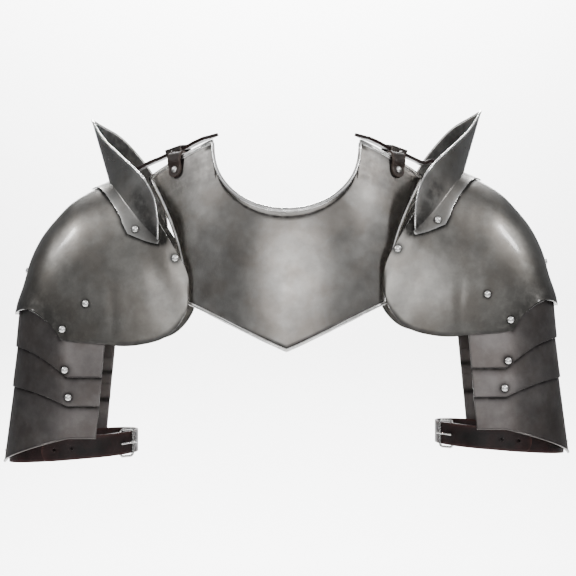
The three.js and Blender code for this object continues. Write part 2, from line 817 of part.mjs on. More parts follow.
// The strap starts at the buckle's bar, goes round the arm and laps over its own start
function armStrapSteps() {
  const round = armLoop().getLength();
  const end = buckleShare + 1 + armStrap.overlap / round;
  const count = 44;
  const steps = [];
  const roundedPart = armStrap.height / 3;
  for (let i = 0; i <= count; i++) {
    const share = lerp(buckleShare, end, i / count);
    const risen = THREE.MathUtils.smoothstep(share, buckleShare + 1 - armStrap.rise, buckleShare + 1 - 0.05);
    const { point, out } = armPlace(share, risen * (leather + armStrap.layerGap));
    const toEnd = (end - share) * round;
    const taper = Math.sqrt(1 - Math.max(0, 0.93 - toEnd / roundedPart) ** 2);
    steps.push({ point, half: new THREE.Vector3(0, 0, (armStrap.height / 2) * taper), out });
  }
  return steps;
}

function armStrapHoles() {
  const round = armLoop().getLength();
  const end = buckleShare + 1 + armStrap.overlap / round;
  return [1, 2].map((k) => {
    const { point, out } = armPlace(end - (k * armStrap.holePitch - 4) / round, leather + armStrap.layerGap);
    const punch = new THREE.CylinderGeometry(armStrap.hole, armStrap.hole, 2 * leather + 1, 8);
    punch.applyQuaternion(new THREE.Quaternion().setFromUnitVectors(new THREE.Vector3(0, 1, 0), out));
    punch.translate(...point.addScaledVector(out, leather / 2));
    return punch;
  });
}

// Bars of the buckle: the rear one in line with the strap's start, the front one outside the layer that laps over
function buckleBars() {
  const round = armLoop().getLength();
  const rear = armPlace(buckleShare - (buckle.wire + seatGap) / round, leather / 2);
  const over = 2 * leather + armStrap.layerGap + seatGap + buckle.wire;
  const front = armPlace(buckleShare - buckle.length / round, over);
  return { rear, front };
}

function buckleFrame() {
  const { rear, front } = buckleBars();
  const half = armStrap.height / 2 + buckle.rim + buckle.wire;
  const corner = 2.2;
  const outline = [];
  for (const [from, to, sign] of [
    [rear.point, front.point, 1],
    [front.point, rear.point, -1],
  ]) {
    const span = from.distanceTo(to);
    const up = (z) => new THREE.Vector3(0, 0, z * sign);
    outline.push(from.clone().add(up(0)));
    outline.push(from.clone().add(up(half - corner)));
    outline.push(from.clone().lerp(to, (0.3 * corner) / span).add(up(half - 0.3 * corner)));
    outline.push(from.clone().lerp(to, corner / span).add(up(half)));
    outline.push(from.clone().lerp(to, 1 - corner / span).add(up(half)));
    outline.push(from.clone().lerp(to, 1 - (0.3 * corner) / span).add(up(half - 0.3 * corner)));
    outline.push(to.clone().add(up(half - corner)));
  }
  return ringSolid(outline, buckle.wire, 6);
}

// The prong lies on the strap and rests on the front bar
function buckleProng() {
  const round = armLoop().getLength();
  const { front } = buckleBars();
  const onStrap = 2 * leather + armStrap.layerGap + seatGap + buckle.prong;
  const root = armPlace(buckleShare + 2 / round, onStrap).point;
  const rest = front.point.clone().addScaledVector(front.out, buckle.wire + seatGap + buckle.prong);
  const tip = rest.clone().add(rest.clone().sub(root).normalize().multiplyScalar(2.5));
  const rod = new THREE.CylinderGeometry(buckle.prong * 0.7, buckle.prong, root.distanceTo(tip), 6);
  const direction = tip.clone().sub(root).normalize();
  rod.applyQuaternion(new THREE.Quaternion().setFromUnitVectors(new THREE.Vector3(0, 1, 0), direction));
  rod.translate(...root.clone().lerp(tip, 0.5));
  return rod;
}

// The pin that holds the strap inside the lowest lame, at the crown
const strapPinX = armStrap.outerX - leather - 3 * seatGap;

function strapPinZ() {
  return armStrap.innerZ - armStrap.tilt * (strapPinX - wingTopX);
}

function pinBore() {
  const radius = rivet.shank + holePlay;
  const bore = new THREE.CylinderGeometry(radius, radius, 2 * rivet.boreDepth, rivet.sides);
  bore.rotateZ(Math.PI / 2);
  bore.translate(strapPinX, 0, strapPinZ());
  return bore;
}

// Scene graph

const harness = new THREE.Group();

function material(finish) {
  return new THREE.MeshStandardMaterial(finish);
}

function add(group, name, geometry, finish) {
  const mesh = new THREE.Mesh(bare(geometry), material(finish));
  mesh.name = name;
  group.add(mesh);
  return mesh;
}

function mirrored(geometry) {
  const copy = geometry.clone();
  copy.scale(-1, 1, 1);
  return reversed(copy);
}

add(harness, 'gorget_plate', gorgetPlate(), steel);

function pauldron(sideName, side) {
  const group = new THREE.Group();
  group.position.z = hang[sideName];
  const place = (name, geometry, finish) =>
    add(group, `${name}_${sideName}`, side > 0 ? bare(geometry) : mirrored(bare(geometry)), finish);
  const placeRivet = (name, seat, out, length = 0) => {
    const mesh = add(group, `${name}_${sideName}`, rivetGeometry(length), brightSteel);
    mesh.position.set(side * seat.x, seat.y, seat.z);
    const direction = new THREE.Vector3(side * out.x, out.y, out.z);
    mesh.quaternion.setFromUnitVectors(new THREE.Vector3(0, 1, 0), direction);
  };
  const frontAndBack = (name, seat, out, length = 0) => {
    placeRivet(`${name}_front`, seat, out, length);
    const flip = (v) => new THREE.Vector3(v.x, -v.y, v.z);
    placeRivet(`${name}_back`, flip(seat), flip(out), length);
  };
  const settle = seatGap + rivet.head ** 2 / (2 * cap.depth);
  const onFace = (seat, out, above = 0) => seat.clone().addScaledVector(out, settle + above);

  place('shell', cutBy(sheetSolid(capGrid(), sheet), pivotBores([0], cap.depth * 0.82)), steel);
  place('haute_piece', hautePiece(), darkSteel);
  for (const { name, rib, turn } of capRivets) {
    const out = capNormal(rib, turn);
    frontAndBack(name, onFace(capPoint(rib, turn), out), out);
  }
  const sideOut = capNormal(sideRivetShare, 0);
  placeRivet('side_rivet', onFace(capPoint(sideRivetShare, 0), sideOut), sideOut);
  const strapOut = capNormal(strapRivetShare, 0);
  placeRivet('strap_rivet', onFace(capPoint(strapRivetShare, 0), strapOut, leather + 3 * seatGap), strapOut);
  const flange = flangePlace(hauteRivet.station, hauteRivet.share);
  const flangeOut = capNormal(flange.rib, flange.turn);
  const flangeSeat = onFace(capPoint(flange.rib, flange.turn), flangeOut, sheet + seatGap + haute.standOff);
  frontAndBack('haute_rivet', flangeSeat, flangeOut);

  lames.forEach((_, k) => {
    const pivots = k + 1 < lames.length ? [k, k + 1] : [k];
    const cutters = [...pivotBores(pivots, lameDepth(k)), ...(k + 1 < lames.length ? [] : [pinBore()])];
    place(`lame_${k + 1}`, cutBy(lamePlate(k), cutters), darkSteel);
    const headDepth = pivotHeadDepth(k);
    const length = headDepth - (lameDepth(k) - sheet) + rivet.tail;
    const seat = new THREE.Vector3(lames[k].pivotX, -headDepth, lames[k].pivotZ);
    frontAndBack(`pivot_rivet_${k + 1}`, seat, new THREE.Vector3(0, -1, 0), length);
  });

  const pinLength = leather + sheet + 3 * seatGap + rivet.pinTail;
  place('arm_strap', cutBy(bandSolid(armStrapSteps(), leather), [...armStrapHoles(), pinBore()]), blackLeather);
  place('arm_buckle', buckleFrame(), brightSteel);
  place('buckle_prong', buckleProng(), brightSteel);
  placeRivet('strap_pin', new THREE.Vector3(strapPinX, 0, strapPinZ()), new THREE.Vector3(-1, 0, 0), pinLength);
  return group;
}

function shoulderJoin(sideName, side) {
  const group = new THREE.Group();
  const place = (name, geometry, finish) =>
    add(group, `${name}_${sideName}`, side > 0 ? bare(geometry) : mirrored(bare(geometry)), finish);
  place('shoulder_strap', bandSolid(strapSteps(hang[sideName]), leather), blackLeather);

  const curve = strapCurve(hang[sideName]);
  const frame = strapFrame(curve, loopStation);
  frame.point.addScaledVector(frame.up, leather / 2);
  const ring = loopGeometry();
  ring.applyMatrix4(new THREE.Matrix4().makeBasis(frame.along, frame.across, frame.up));
  ring.translate(...frame.point);
  place('shoulder_loop', ring, steel);
  place('shoulder_tab', bandSolid(tabSteps(frame), leather), brownLeather);

  const { seat, out } = tabFace(tab.rivetZ);
  seat.addScaledVector(out, leather + 4 * seatGap);
  const head = add(group, `tab_rivet_${sideName}`, rivetGeometry(0), brightSteel);
  head.position.set(side * seat.x, seat.y, seat.z);
  head.quaternion.setFromUnitVectors(new THREE.Vector3(0, 1, 0), new THREE.Vector3(side * out.x, out.y, out.z));
  return group;
}

for (const [sideName, side] of [['left', -1], ['right', 1]]) {
  harness.add(pauldron(sideName, side));
  harness.add(shoulderJoin(sideName, side));
}

export default harness;
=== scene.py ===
"""A steel gorget plate with a pauldron on each shoulder: the looks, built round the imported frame.

Metres. The wearer faces -Y, X = 0 is the middle of the body. Sizes are written in millimetres, as in the
part's own drawing, and turned to metres where a piece is laid out. Shapes are worked out for the +X side
and mirrored to the other.
"""
import math

import bpy
from mathutils import Matrix, Vector, kdtree, noise

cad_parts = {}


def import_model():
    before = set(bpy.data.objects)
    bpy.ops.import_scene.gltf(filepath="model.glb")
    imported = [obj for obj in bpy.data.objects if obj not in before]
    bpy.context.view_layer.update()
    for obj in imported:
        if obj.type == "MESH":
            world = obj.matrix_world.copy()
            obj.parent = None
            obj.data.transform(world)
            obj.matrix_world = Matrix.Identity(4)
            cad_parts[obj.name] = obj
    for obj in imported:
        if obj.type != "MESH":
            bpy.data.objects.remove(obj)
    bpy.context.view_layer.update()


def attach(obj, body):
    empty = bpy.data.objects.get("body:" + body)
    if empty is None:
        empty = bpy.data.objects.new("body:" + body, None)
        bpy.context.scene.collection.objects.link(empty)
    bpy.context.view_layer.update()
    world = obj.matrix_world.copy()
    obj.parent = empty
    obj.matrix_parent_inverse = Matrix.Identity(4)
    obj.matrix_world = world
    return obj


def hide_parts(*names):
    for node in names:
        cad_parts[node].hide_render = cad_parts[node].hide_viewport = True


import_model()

MM = 0.001
SHEET = 1.2
LEATHER, NECK_LEATHER = 2.6, 3.6
SIDES = {"left": -1, "right": 1}
HANG = {"left": -5.0, "right": 5.0}


# Numbers and lines


def mix(a, b, share):
    return a + (b - a) * share


def clamp(value, low=0.0, high=1.0):
    return max(low, min(high, value))


def ease(value, low, high):
    share = clamp((value - low) / (high - low))
    return share * share * (3 - 2 * share)


def ridge(distance, width):
    return math.exp(-((distance / width) ** 2))


def smooth_line(points, share):
    """A point of the smooth line through points, the share running evenly from one point to the next."""
    last = len(points) - 1
    place = clamp(share) * last
    start = min(int(place), last - 1)
    step = place - start
    b, c = points[start], points[start + 1]
    a = points[start - 1] if start > 0 else b * 2 - c
    d = points[start + 2] if start + 2 <= last else c * 2 - b
    ab, bc, cd = [max((q - p).length ** 0.5, 1e-3) for p, q in ((a, b), (b, c), (c, d))]
    leave = ((b - a) / ab - (c - a) / (ab + bc) + (c - b) / bc) * bc
    enter = ((c - b) / bc - (d - b) / (bc + cd) + (d - c) / cd) * bc
    return (b + leave * step + (b * -3 + c * 3 - leave * 2 - enter) * step ** 2
            + (b * 2 - c * 2 + leave + enter) * step ** 3)


class Route:
    """A line walked by its length."""

    def __init__(self, points):
        self.points = points
        self.walked = [0.0]
        for here, there in zip(points, points[1:]):
            self.walked.append(self.walked[-1] + (there - here).length)
        self.length = self.walked[-1]

    def at(self, share):
        goal = clamp(share) * self.length
        for k in range(1, len(self.points)):
            if self.walked[k] >= goal or k == len(self.points) - 1:
                span = self.walked[k] - self.walked[k - 1]
                return self.points[k - 1].lerp(self.points[k], (goal - self.walked[k - 1]) / max(span, 1e-9))

    def heading(self, share):
        return (self.at(share + 0.004) - self.at(share - 0.004)).normalized()


# Gorget plate

NECK_HALF, NECK_TOP, NECK_DEPTH, NECK_SHARE = 79, 7, 75, 0.62
SHOULDER_HALF, SHOULDER_Z = 152, -31
HEM_HALF, HEM_Z, TIP_Z = 106, -168, -219
GORGET_FRONT, GORGET_GIRTH, GORGET_LEAN, SIDE_HOLLOW = 112, 185, 12, 10
FLANGE, FLANGE_TURN, GORGET_BEAD, EDGE_FOLD = 8.5, 5.5, 2.0, 3.6
TO_SIDE = HEM_HALF * 1.2


def gorget_depth(x, z):
    rise = max(0.0, (z - TIP_Z) / (NECK_TOP - NECK_DEPTH - TIP_Z))
    return -GORGET_FRONT + GORGET_LEAN * rise ** 2.6 + GORGET_GIRTH - math.sqrt(GORGET_GIRTH ** 2 - x * x)


def gorget_top(across):
    share, side = abs(across), math.copysign(1, across)
    if share > NECK_SHARE:
        out = (share - NECK_SHARE) / (1 - NECK_SHARE)
        return side * mix(NECK_HALF, SHOULDER_HALF, out), mix(NECK_TOP, SHOULDER_Z, out ** 1.15)
    turn = math.radians(90 * share / NECK_SHARE)
    return side * NECK_HALF * math.sin(turn), NECK_TOP - NECK_DEPTH * math.cos(turn) ** 0.85


def gorget_point(across, down):
    top_x, top_z = gorget_top(across)
    hem_x, hem_z = across * HEM_HALF, mix(TIP_Z, HEM_Z, abs(across) ** 1.04)
    length = math.hypot(top_x - hem_x, top_z - hem_z)
    hollow = SIDE_HOLLOW * abs(across) ** 4 * math.sin(down * math.pi)
    x = mix(top_x, hem_x, down) - math.copysign(hollow, across)
    z = mix(top_z, hem_z, down)
    from_top = down * length
    to_side = (1 - abs(across)) * TO_SIDE
    at_neck = 1.0 if abs(top_x) < NECK_HALF else clamp(1 - (abs(top_x) - NECK_HALF) / 12)
    turned = FLANGE_TURN * at_neck * clamp(1 - from_top / FLANGE)
    groove = 0.9 * (ridge(from_top - FLANGE - 0.6, 1.3) * at_neck
                    + ridge(min(length - from_top, to_side) - EDGE_FOLD, 1.3)
                    + ridge(from_top - EDGE_FOLD, 1.3) * (1 - at_neck))
    return Vector((x, gorget_depth(x, z) - turned + groove, z))


# Shoulder cap

CROWN_NECK, CROWN_OUTER = (167, -21.5), (297, -176)
HEM_INNER, HEM_OUTER_X, HEM_DROP = (102.8, -148.6), 241.6, 60
CAP_DEPTH, CAP_ROUND, OUTER_ARCH, NECK_ARCH, NECK_BULGE = 86, 2.3, 68, 45, 90

# One rib a row: along and down the crown line, across and down the hem line, and its depth
CAP_RIBS = [
    (0.0, 0.0, 0.0, 0.0, 0.975),
    (0.04, 0.01, 0.015, 0.335, 1.0),
    (0.1, 0.03, 0.092, 0.652, 1.0),
    (0.17, 0.052, 0.2, 0.863, 1.0),
    (0.24, 0.078, 0.386, 0.978, 0.98),
    (0.323, 0.107, 0.534, 0.997, 0.955),
    (0.518, 0.203, 0.623, 0.97, 0.925),
    (0.653, 0.317, 0.696, 0.957, 0.9),
    (0.78, 0.452, 0.769, 0.947, 0.876),
    (0.873, 0.608, 0.835, 0.94, 0.856),
    (0.932, 0.786, 0.9, 0.93, 0.84),
    (0.983, 0.922, 0.959, 0.907, 0.826),
    (1.0, 1.0, 1.0, 0.878, 0.814),
]
CROWN = [Vector((mix(CROWN_NECK[0], CROWN_OUTER[0], along), 0, mix(CROWN_NECK[1], CROWN_OUTER[1], down)))
         for along, down, _, _, _ in CAP_RIBS]
HEM = [Vector((mix(HEM_INNER[0], HEM_OUTER_X, across), CAP_DEPTH * deep, HEM_INNER[1] - HEM_DROP * drop))
       for _, _, across, drop, deep in CAP_RIBS]


def cap_point(rib, turn):
    """The cap's outer face: rib 0 at the neck, 1 at the lower edge; turn -90 in front, 90 behind."""
    crown, hem = smooth_line(CROWN, rib), smooth_line(HEM, rib)
    angle = math.radians(abs(turn))
    power = 2 / CAP_ROUND
    fall = 1 - max(math.cos(angle), 0) ** power
    deep = math.sin(angle) ** power
    low_arch = OUTER_ARCH * fall * (1 - fall) * rib ** 6
    neck_arch = NECK_ARCH * fall * fall * (1 - fall) * (1 - rib) ** 8
    neck_bulge = NECK_BULGE * fall ** 6 * (1 - fall) * (1 - rib) ** 8
    return Vector((mix(crown.x, hem.x, fall) - neck_bulge, math.copysign(hem.y * deep, turn),
                   mix(crown.z, hem.z, fall) + low_arch + neck_arch))


# Rib and turn of each rivet's seat on the cap
CAP_RIVETS = (("wing_rivet", (0.0293, -77.4)), ("cap_rivet", (0.569, -75.2)))
SIDE_RIB = 0.786
HEAD_RADIUS, HEAD_FLAT, HEAD_FOOT, SHANK_RADIUS, SEAT_PLAY = 3.65, 0.66, 0.3, 1.5, 0.15


def cap_normal(rib, turn):
    along = cap_point(min(1, rib + 0.01), turn) - cap_point(max(0, rib - 0.01), turn)
    around = cap_point(rib, turn + 1) - cap_point(rib, turn - 1)
    return along.cross(around).normalized()


def cap_face_at(x, z):
    """Seat and outward side on the cap's front face, closed in on by steps."""
    rib, turn = 0.5, -70.0
    for _ in range(40):
        here = cap_point(rib, turn)
        by_rib = (cap_point(rib + 0.001, turn) - here) * 1000
        by_turn = (cap_point(rib, turn + 0.1) - here) * 10
        size = by_rib.x * by_turn.z - by_rib.z * by_turn.x
        dx, dz = x - here.x, z - here.z
        rib = clamp(rib + 0.6 * (dx * by_turn.z - dz * by_turn.x) / size, 0.001, 0.998)
        turn = clamp(turn + 0.6 * (by_rib.x * dz - by_rib.z * dx) / size, -89, -1)
    return cap_point(rib, turn), cap_normal(rib, turn)


def shell_point(along, around):
    turn = mix(-90, 90, around)
    point, out = cap_point(along, turn), cap_normal(along, turn)
    crease = 0.4 * ridge(point.x - 184, 6) * ease(-point.z, 120, 175)
    uneven = 0.45 * noise.noise(point * 0.022)
    return point + out * (uneven - crease)


# Neck guard

GUARD_CROWN, GUARD_END, GUARD_DEGREES, FOLD_BEND = 0.288, 0.068, 66, 1.5
TIP, GUARD_HEIGHT, GUARD_SPREAD, GUARD_REACH, BACK_RISE = (213.4, 38.5), 143, 78, 81, 21
FLANGE_WIDTH, STAND_OFF, GUARD_RIVET = 20, 1.2, 0.8

# From the front end to the tip: inward, below and forward of it, rise of the back half, flange width
GUARD_RIM = [
    (0.0, 0.995, 0.935, 1.02, 0.0, 0.22),
    (0.1, 1.003, 0.87, 1.03, 0.04, 0.6),
    (0.2, 0.993, 0.773, 0.993, 0.12, 1.0),
    (0.34, 0.947, 0.618, 0.938, 0.3, 0.66),
    (0.42, 0.868, 0.535, 0.889, 0.45, 0.6),
    (0.5, 0.781, 0.462, 0.815, 0.6, 0.57),
    (0.64, 0.603, 0.37, 0.642, 0.85, 0.6),
    (0.8, 0.363, 0.252, 0.42, 1.0, 0.7),
    (0.92, 0.133, 0.132, 0.198, 0.6, 0.8),
    (1.0, 0.0, 0.0, 0.0, 0.0, 0.87),
]


def guard_row(at):
    for low, high in zip(GUARD_RIM, GUARD_RIM[1:]):
        if high[0] >= at - 1e-9:
            share = (at - low[0]) / (high[0] - low[0])
            return [mix(a, b, share) for a, b in zip(low[1:], high[1:])]


def guard_fold(station):
    away = abs(station)
    return GUARD_CROWN - (GUARD_CROWN - GUARD_END) * away ** FOLD_BEND, station * GUARD_DEGREES


def guard_rim(station):
    at = 1 - abs(station)
    reach = min(0.06, at, 1 - at)
    rows = [guard_row(clamp(at + reach * k / 4)) for k in range(-4, 5)]
    inward, below, forward, rise = [sum(row[k] for row in rows) / 9 for k in range(4)]
    lift = BACK_RISE * rise if station > 0 else 0
    return Vector((TIP[0] - GUARD_SPREAD * inward, math.copysign(GUARD_REACH * forward, station),
                   TIP[1] - GUARD_HEIGHT * below + lift))


def flange_place(station, share):
    rib, turn = guard_fold(station)
    scale = (cap_point(rib + 0.02, turn) - cap_point(rib, turn)).length / 0.02
    return rib + share * FLANGE_WIDTH * guard_row(1 - abs(station))[4] / scale, turn


def flange_point(station, share, lift):
    rib, turn = flange_place(station, share)
    return cap_point(rib, turn) + cap_normal(rib, turn) * lift


def guard_point(along, down):
    """The face next to the cap: down runs from the rim over the fold, at 0.75, to the flange's edge."""
    station = mix(-1, 1, along)
    if down > 0.75:
        return flange_point(station, (down - 0.75) / 0.25, STAND_OFF)
    rib, turn = guard_fold(station)
    fold = cap_point(rib, turn) + cap_normal(rib, turn) * STAND_OFF
    return guard_rim(station).lerp(fold, down / 0.75)


# Lames

LAME_TURN_X, LAME_TUCK, LAME_EAR, WING_TOP_X, WING_LEAN, WING_SHARE = 234, 16, 9, 194, 0.093, 0.22
PLATE_PLAY = 0.7
ARM_OUTER, ARM_FRONT_Z, CAP_HEM_Z = (310.2, -338.5), -307.8, HEM_INNER[1] - HEM_DROP * CAP_RIBS[-1][3]


def lame_sizes(across, down, out, crown_down, front_down, bend):
    return dict(pivot=(HEM_OUTER_X * across, mix(CAP_HEM_Z, ARM_FRONT_Z, down)), bend=bend,
                crown=(mix(CROWN_OUTER[0], ARM_OUTER[0], out), mix(CROWN_OUTER[1], ARM_OUTER[1], crown_down)),
                front=mix(CAP_HEM_Z, ARM_FRONT_Z, front_down))


LAMES = [
    lame_sizes(0.987, -0.1, 0, 0.2135, 0.385, 1.8),
    lame_sizes(0.9785, 0.31, 0.28, 0.4806, 0.675, 1.8),
    lame_sizes(0.9636, 0.585, 1, 1, 1, 0.6),
]


def lame_depth(k):
    return CAP_DEPTH * CAP_RIBS[-1][4] - (k + 1) * (SHEET + PLATE_PLAY)


def lame_point(k, around, down):
    """Around is -1 at the front inner edge, 0 at the crown, 1 at the back inner edge."""
    lame = LAMES[k]
    above_x, above_z = LAMES[k - 1]["crown"] if k else CROWN_OUTER
    top_z, top_x = above_z + LAME_TUCK, above_x - 2 * (SHEET + PLATE_PLAY) - (0 if k else 1)
    away, side = abs(around), math.copysign(1, around)
    on_wing = away > 1 - WING_SHARE
    turn = math.radians(90 if on_wing else 90 * away / (1 - WING_SHARE))
    share = 1 - math.cos(turn)
    top = mix(top_z, lame["pivot"][1] + LAME_EAR, share ** 1.3)
    bottom = mix(lame["crown"][1], lame["front"], share ** lame["bend"])
    z = mix(top, bottom, down)
    crown_x = mix(top_x, lame["crown"][0], (top_z - z) / (top_z - lame["crown"][1]))
    edge_x = WING_TOP_X + WING_LEAN * (HEM_INNER[1] - HEM_DROP - z)
    if on_wing:
        x = mix(LAME_TURN_X, edge_x, (away - 1 + WING_SHARE) / WING_SHARE)
    else:
        x = LAME_TURN_X + (crown_x - LAME_TURN_X) * math.cos(turn)
    return Vector((x, side * lame_depth(k) * math.sin(turn), z))


def lame_face(k):
    def point(around, down):
        place = lame_point(k, mix(-1, 1, around), down)
        return place + Vector((0, 0.35 * noise.noise(place * 0.03 + Vector((9 * k, 0, 0))), 0))
    return point


# Straps

STRAP_RIB, STRAP_LIFT = 0.115, 0.6
# Out from the neck's corner, forward and down, on the way to the cap's crown
STRAP_LINE = [(0.02, 0.36, -0.12), (0.2, 0.225, 0.08), (0.37, 0.138, 0.31), (0.52, 0.094, 0.47),
              (0.66, 0.072, 0.66), (0.79, 0.055, 0.82), (0.91, 0.027, 0.88)]
STRAP_WIDTH, LOOP_STATION, LOOP_LENGTH, LOOP_WALL, LOOP_PLAY, LOOP_RISE = 24, 0.4, 19, 1.4, 1.1, 2.4
TAB_WIDTH, TAB_X, TAB_RIVET_Z, TAB_END, TAB_REACH = 17, 118.5, -25, 8, 5
ARM_HEIGHT, ARM_OUTER_X, ARM_INNER_X, ARM_INNER_TURN, ARM_TILT, ARM_Z = 24, 304.6, 167, 214, 0.087, -315.5
LAYER_GAP, OVERLAP, RISE, BUCKLE_SHARE, HOLE, HOLE_PITCH, PUNCH = 0.5, 85, 0.16, 0.61, 1.9, 18, 6.4
BUCKLE_WIRE, BUCKLE_PLAY, PRONG, BUCKLE_CORNER = 1.4, 0.3, 1.1, 3.2


def strap_route(hang):
    points = [Vector((mix(NECK_HALF, CROWN_NECK[0], out), -GORGET_FRONT * front,
                      mix(NECK_TOP, CROWN_NECK[1], down))) for out, front, down in STRAP_LINE]
    points[-1].z += 0.7 * hang
    for share in (0.4, 1, 1.7):
        rib = share * STRAP_RIB
        point = cap_point(rib, 0) + cap_normal(rib, 0) * STRAP_LIFT
        points.append(Vector((point.x, 0, point.z + hang)))
    return Route([smooth_line(points, k / 240) for k in range(241)])


def strap_frame(route, share):
    along = route.heading(share)
    across = Vector((-along.z, 0, along.x)).normalized().cross(along).normalized()
    return route.at(share), along, across, along.cross(across)


def tab_face(z):
    slope_x = gorget_depth(TAB_X + 0.5, z) - gorget_depth(TAB_X - 0.5, z)
    slope_z = gorget_depth(TAB_X, z + 0.5) - gorget_depth(TAB_X, z - 0.5)
    return (Vector((TAB_X, gorget_depth(TAB_X, z), z)), Vector((1, slope_x, 0)).normalized(),
            Vector((slope_x, -1, slope_z)).normalized())


def tab_stations(loop):
    """Middle, half width and outward side of the tab, from its round end to where it lies under the loop."""
    point, along, across, up = loop

    def edge_at(x):
        return mix(NECK_TOP, SHOULDER_Z, ((x - NECK_HALF) / (SHOULDER_HALF - NECK_HALF)) ** 1.15)

    def on_plate(z, off):
        seat, _, out = tab_face(z)
        return seat + out * off

    high_edge = edge_at(TAB_X - 0.4 * TAB_WIDTH)
    under = LEATHER / 2 + LOOP_RISE + LOOP_WALL + 0.6 + LEATHER
    loop_front = STRAP_WIDTH / 2 + LOOP_PLAY + LOOP_WALL
    seat, sideways, out = tab_face(high_edge)
    over_edge = Vector((0, 0, high_edge + 0.5))
    line = [on_plate(TAB_RIVET_Z - TAB_END, 0.48), on_plate(TAB_RIVET_Z, 0.48),
            on_plate(edge_at(TAB_X) - 10, 0.6), on_plate(edge_at(TAB_X) - 3.7, 2.7),
            (seat + out * 0.9).xy.to_3d() + over_edge, (seat - out * 3.4).xy.to_3d() + over_edge]
    line += [point - up * under + across * step for step in (-loop_front, -loop_front / 2, TAB_REACH)]
    route = Route([smooth_line(line, k / 160) for k in range(161)])
    sideways = tab_face(TAB_RIVET_Z)[1]
    stations = []
    for k in range(49):
        share = k / 48
        heading = route.heading(share)
        half = sideways.lerp(along, ease(share, 0.35, 0.6))
        half = (half - heading * half.dot(heading)).normalized()
        rounding = math.sqrt(1 - clamp(0.985 - share / 0.13) ** 2)
        stations.append((route.at(share), half * TAB_WIDTH / 2 * rounding, half.cross(heading).normalized()))
    return stations


def arm_route():
    depth = lame_depth(2) - SHEET - 2 * LEATHER - LAYER_GAP - 0.9
    half = ARM_OUTER_X - LEATHER - LAME_TURN_X
    inner = ARM_INNER_TURN - ARM_INNER_X
    line = []
    for k in range(41):
        turn = math.radians(90 * k / 40)
        line.append((LAME_TURN_X + half * math.cos(turn), depth * math.sin(turn)))
    for k in range(81):
        turn = math.radians(90 + 180 * k / 80)
        line.append((ARM_INNER_TURN + inner * math.cos(turn), depth * math.sin(turn)))
    for k in range(41):
        turn = math.radians(270 + 90 * k / 40)
        line.append((LAME_TURN_X + half * math.cos(turn), depth * math.sin(turn)))
    return Route([Vector((x, y, ARM_Z - ARM_TILT * (x - WING_TOP_X))) for x, y in line])


ARM = arm_route()
ARM_ROUND = sum((Vector((a.x - b.x, a.y - b.y))).length for a, b in zip(ARM.points, ARM.points[1:]))


def arm_place(share, lift):
    """A point of the arm strap's inner face, from the crown over the back; past 1 it laps over itself."""
    whole = share % 1
    here = ARM.at(whole)
    heading = ARM.at((whole + 0.003) % 1) - ARM.at((whole - 0.003) % 1)
    out = Vector((heading.y, -heading.x, 0)).normalized()
    return here + out * lift, out


def arm_stations(count=190):
    end = BUCKLE_SHARE + 1 + OVERLAP / ARM_ROUND
    stations = []
    for k in range(count + 1):
        share = mix(BUCKLE_SHARE, end, k / count)
        risen = ease(share, BUCKLE_SHARE + 1 - RISE, BUCKLE_SHARE + 1 - 0.05)
        point, out = arm_place(share, risen * (LEATHER + LAYER_GAP))
        to_end = (end - share) * ARM_ROUND
        taper = math.sqrt(1 - clamp(0.985 - to_end / (ARM_HEIGHT / 2.6)) ** 2)
        stations.append((point, Vector((0, 0, ARM_HEIGHT / 2 * taper)), out))
    return stations


# Tools of the bench


def only(piece):
    bpy.ops.object.select_all(action="DESELECT")
    piece.select_set(True)
    bpy.context.view_layer.objects.active = piece


def apply_modifiers(piece):
    only(piece)
    for modifier in list(piece.modifiers):
        bpy.ops.object.modifier_apply(modifier=modifier.name)


def add_modifier(piece, kind, **settings):
    modifier = piece.modifiers.new(kind.title(), kind)
    for key, value in settings.items():
        setattr(modifier, key, value)
    return modifier


def round_edges(piece, width, segments, degrees=30):
    """Rounds the edges that turn by more than the degrees; width in mm."""
    add_modifier(piece, "BEVEL", width=width * MM, segments=segments, limit_method="ANGLE",
                 angle_limit=math.radians(degrees))
    apply_modifiers(piece)


def set_place(piece):
    only(piece)
    bpy.ops.object.transform_apply(location=True, rotation=True, scale=True)


def joined(pieces):
    bpy.ops.object.select_all(action="DESELECT")
    for piece in pieces:
        piece.select_set(True)
    bpy.context.view_layer.objects.active = pieces[0]
    bpy.ops.object.join()
    return pieces[0]


def soften(piece, degrees=38):
    only(piece)
    bpy.ops.object.shade_smooth_by_angle(angle=math.radians(degrees))


def to_side(side):
    """Turns a point of the +X drawing, in mm, to its place on a side, in metres."""
    return lambda point: Vector((SIDES[side] * point.x, point.y, point.z + HANG[side])) * MM


def plain(point):
    return point * MM


def mark_painted_shade(sheet, shade_marks):
    """Sets how close each point is to the places of a mark, as painted shade: (places, foot, fade, strength),
    in mm.
    """
    painted_shade = sheet.data.attributes.new("painted_shade", "FLOAT", "POINT")
    for places, foot, fade, strength in shade_marks:
        tree = kdtree.KDTree(len(places))
        for k, place in enumerate(places):
            tree.insert(place, k)
        tree.balance()
        for vertex, value in zip(sheet.data.vertices, painted_shade.data):
            away = tree.find(vertex.co)[2] / MM
            value.value = max(value.value, strength * math.exp(-max(away - foot, 0) / fade))


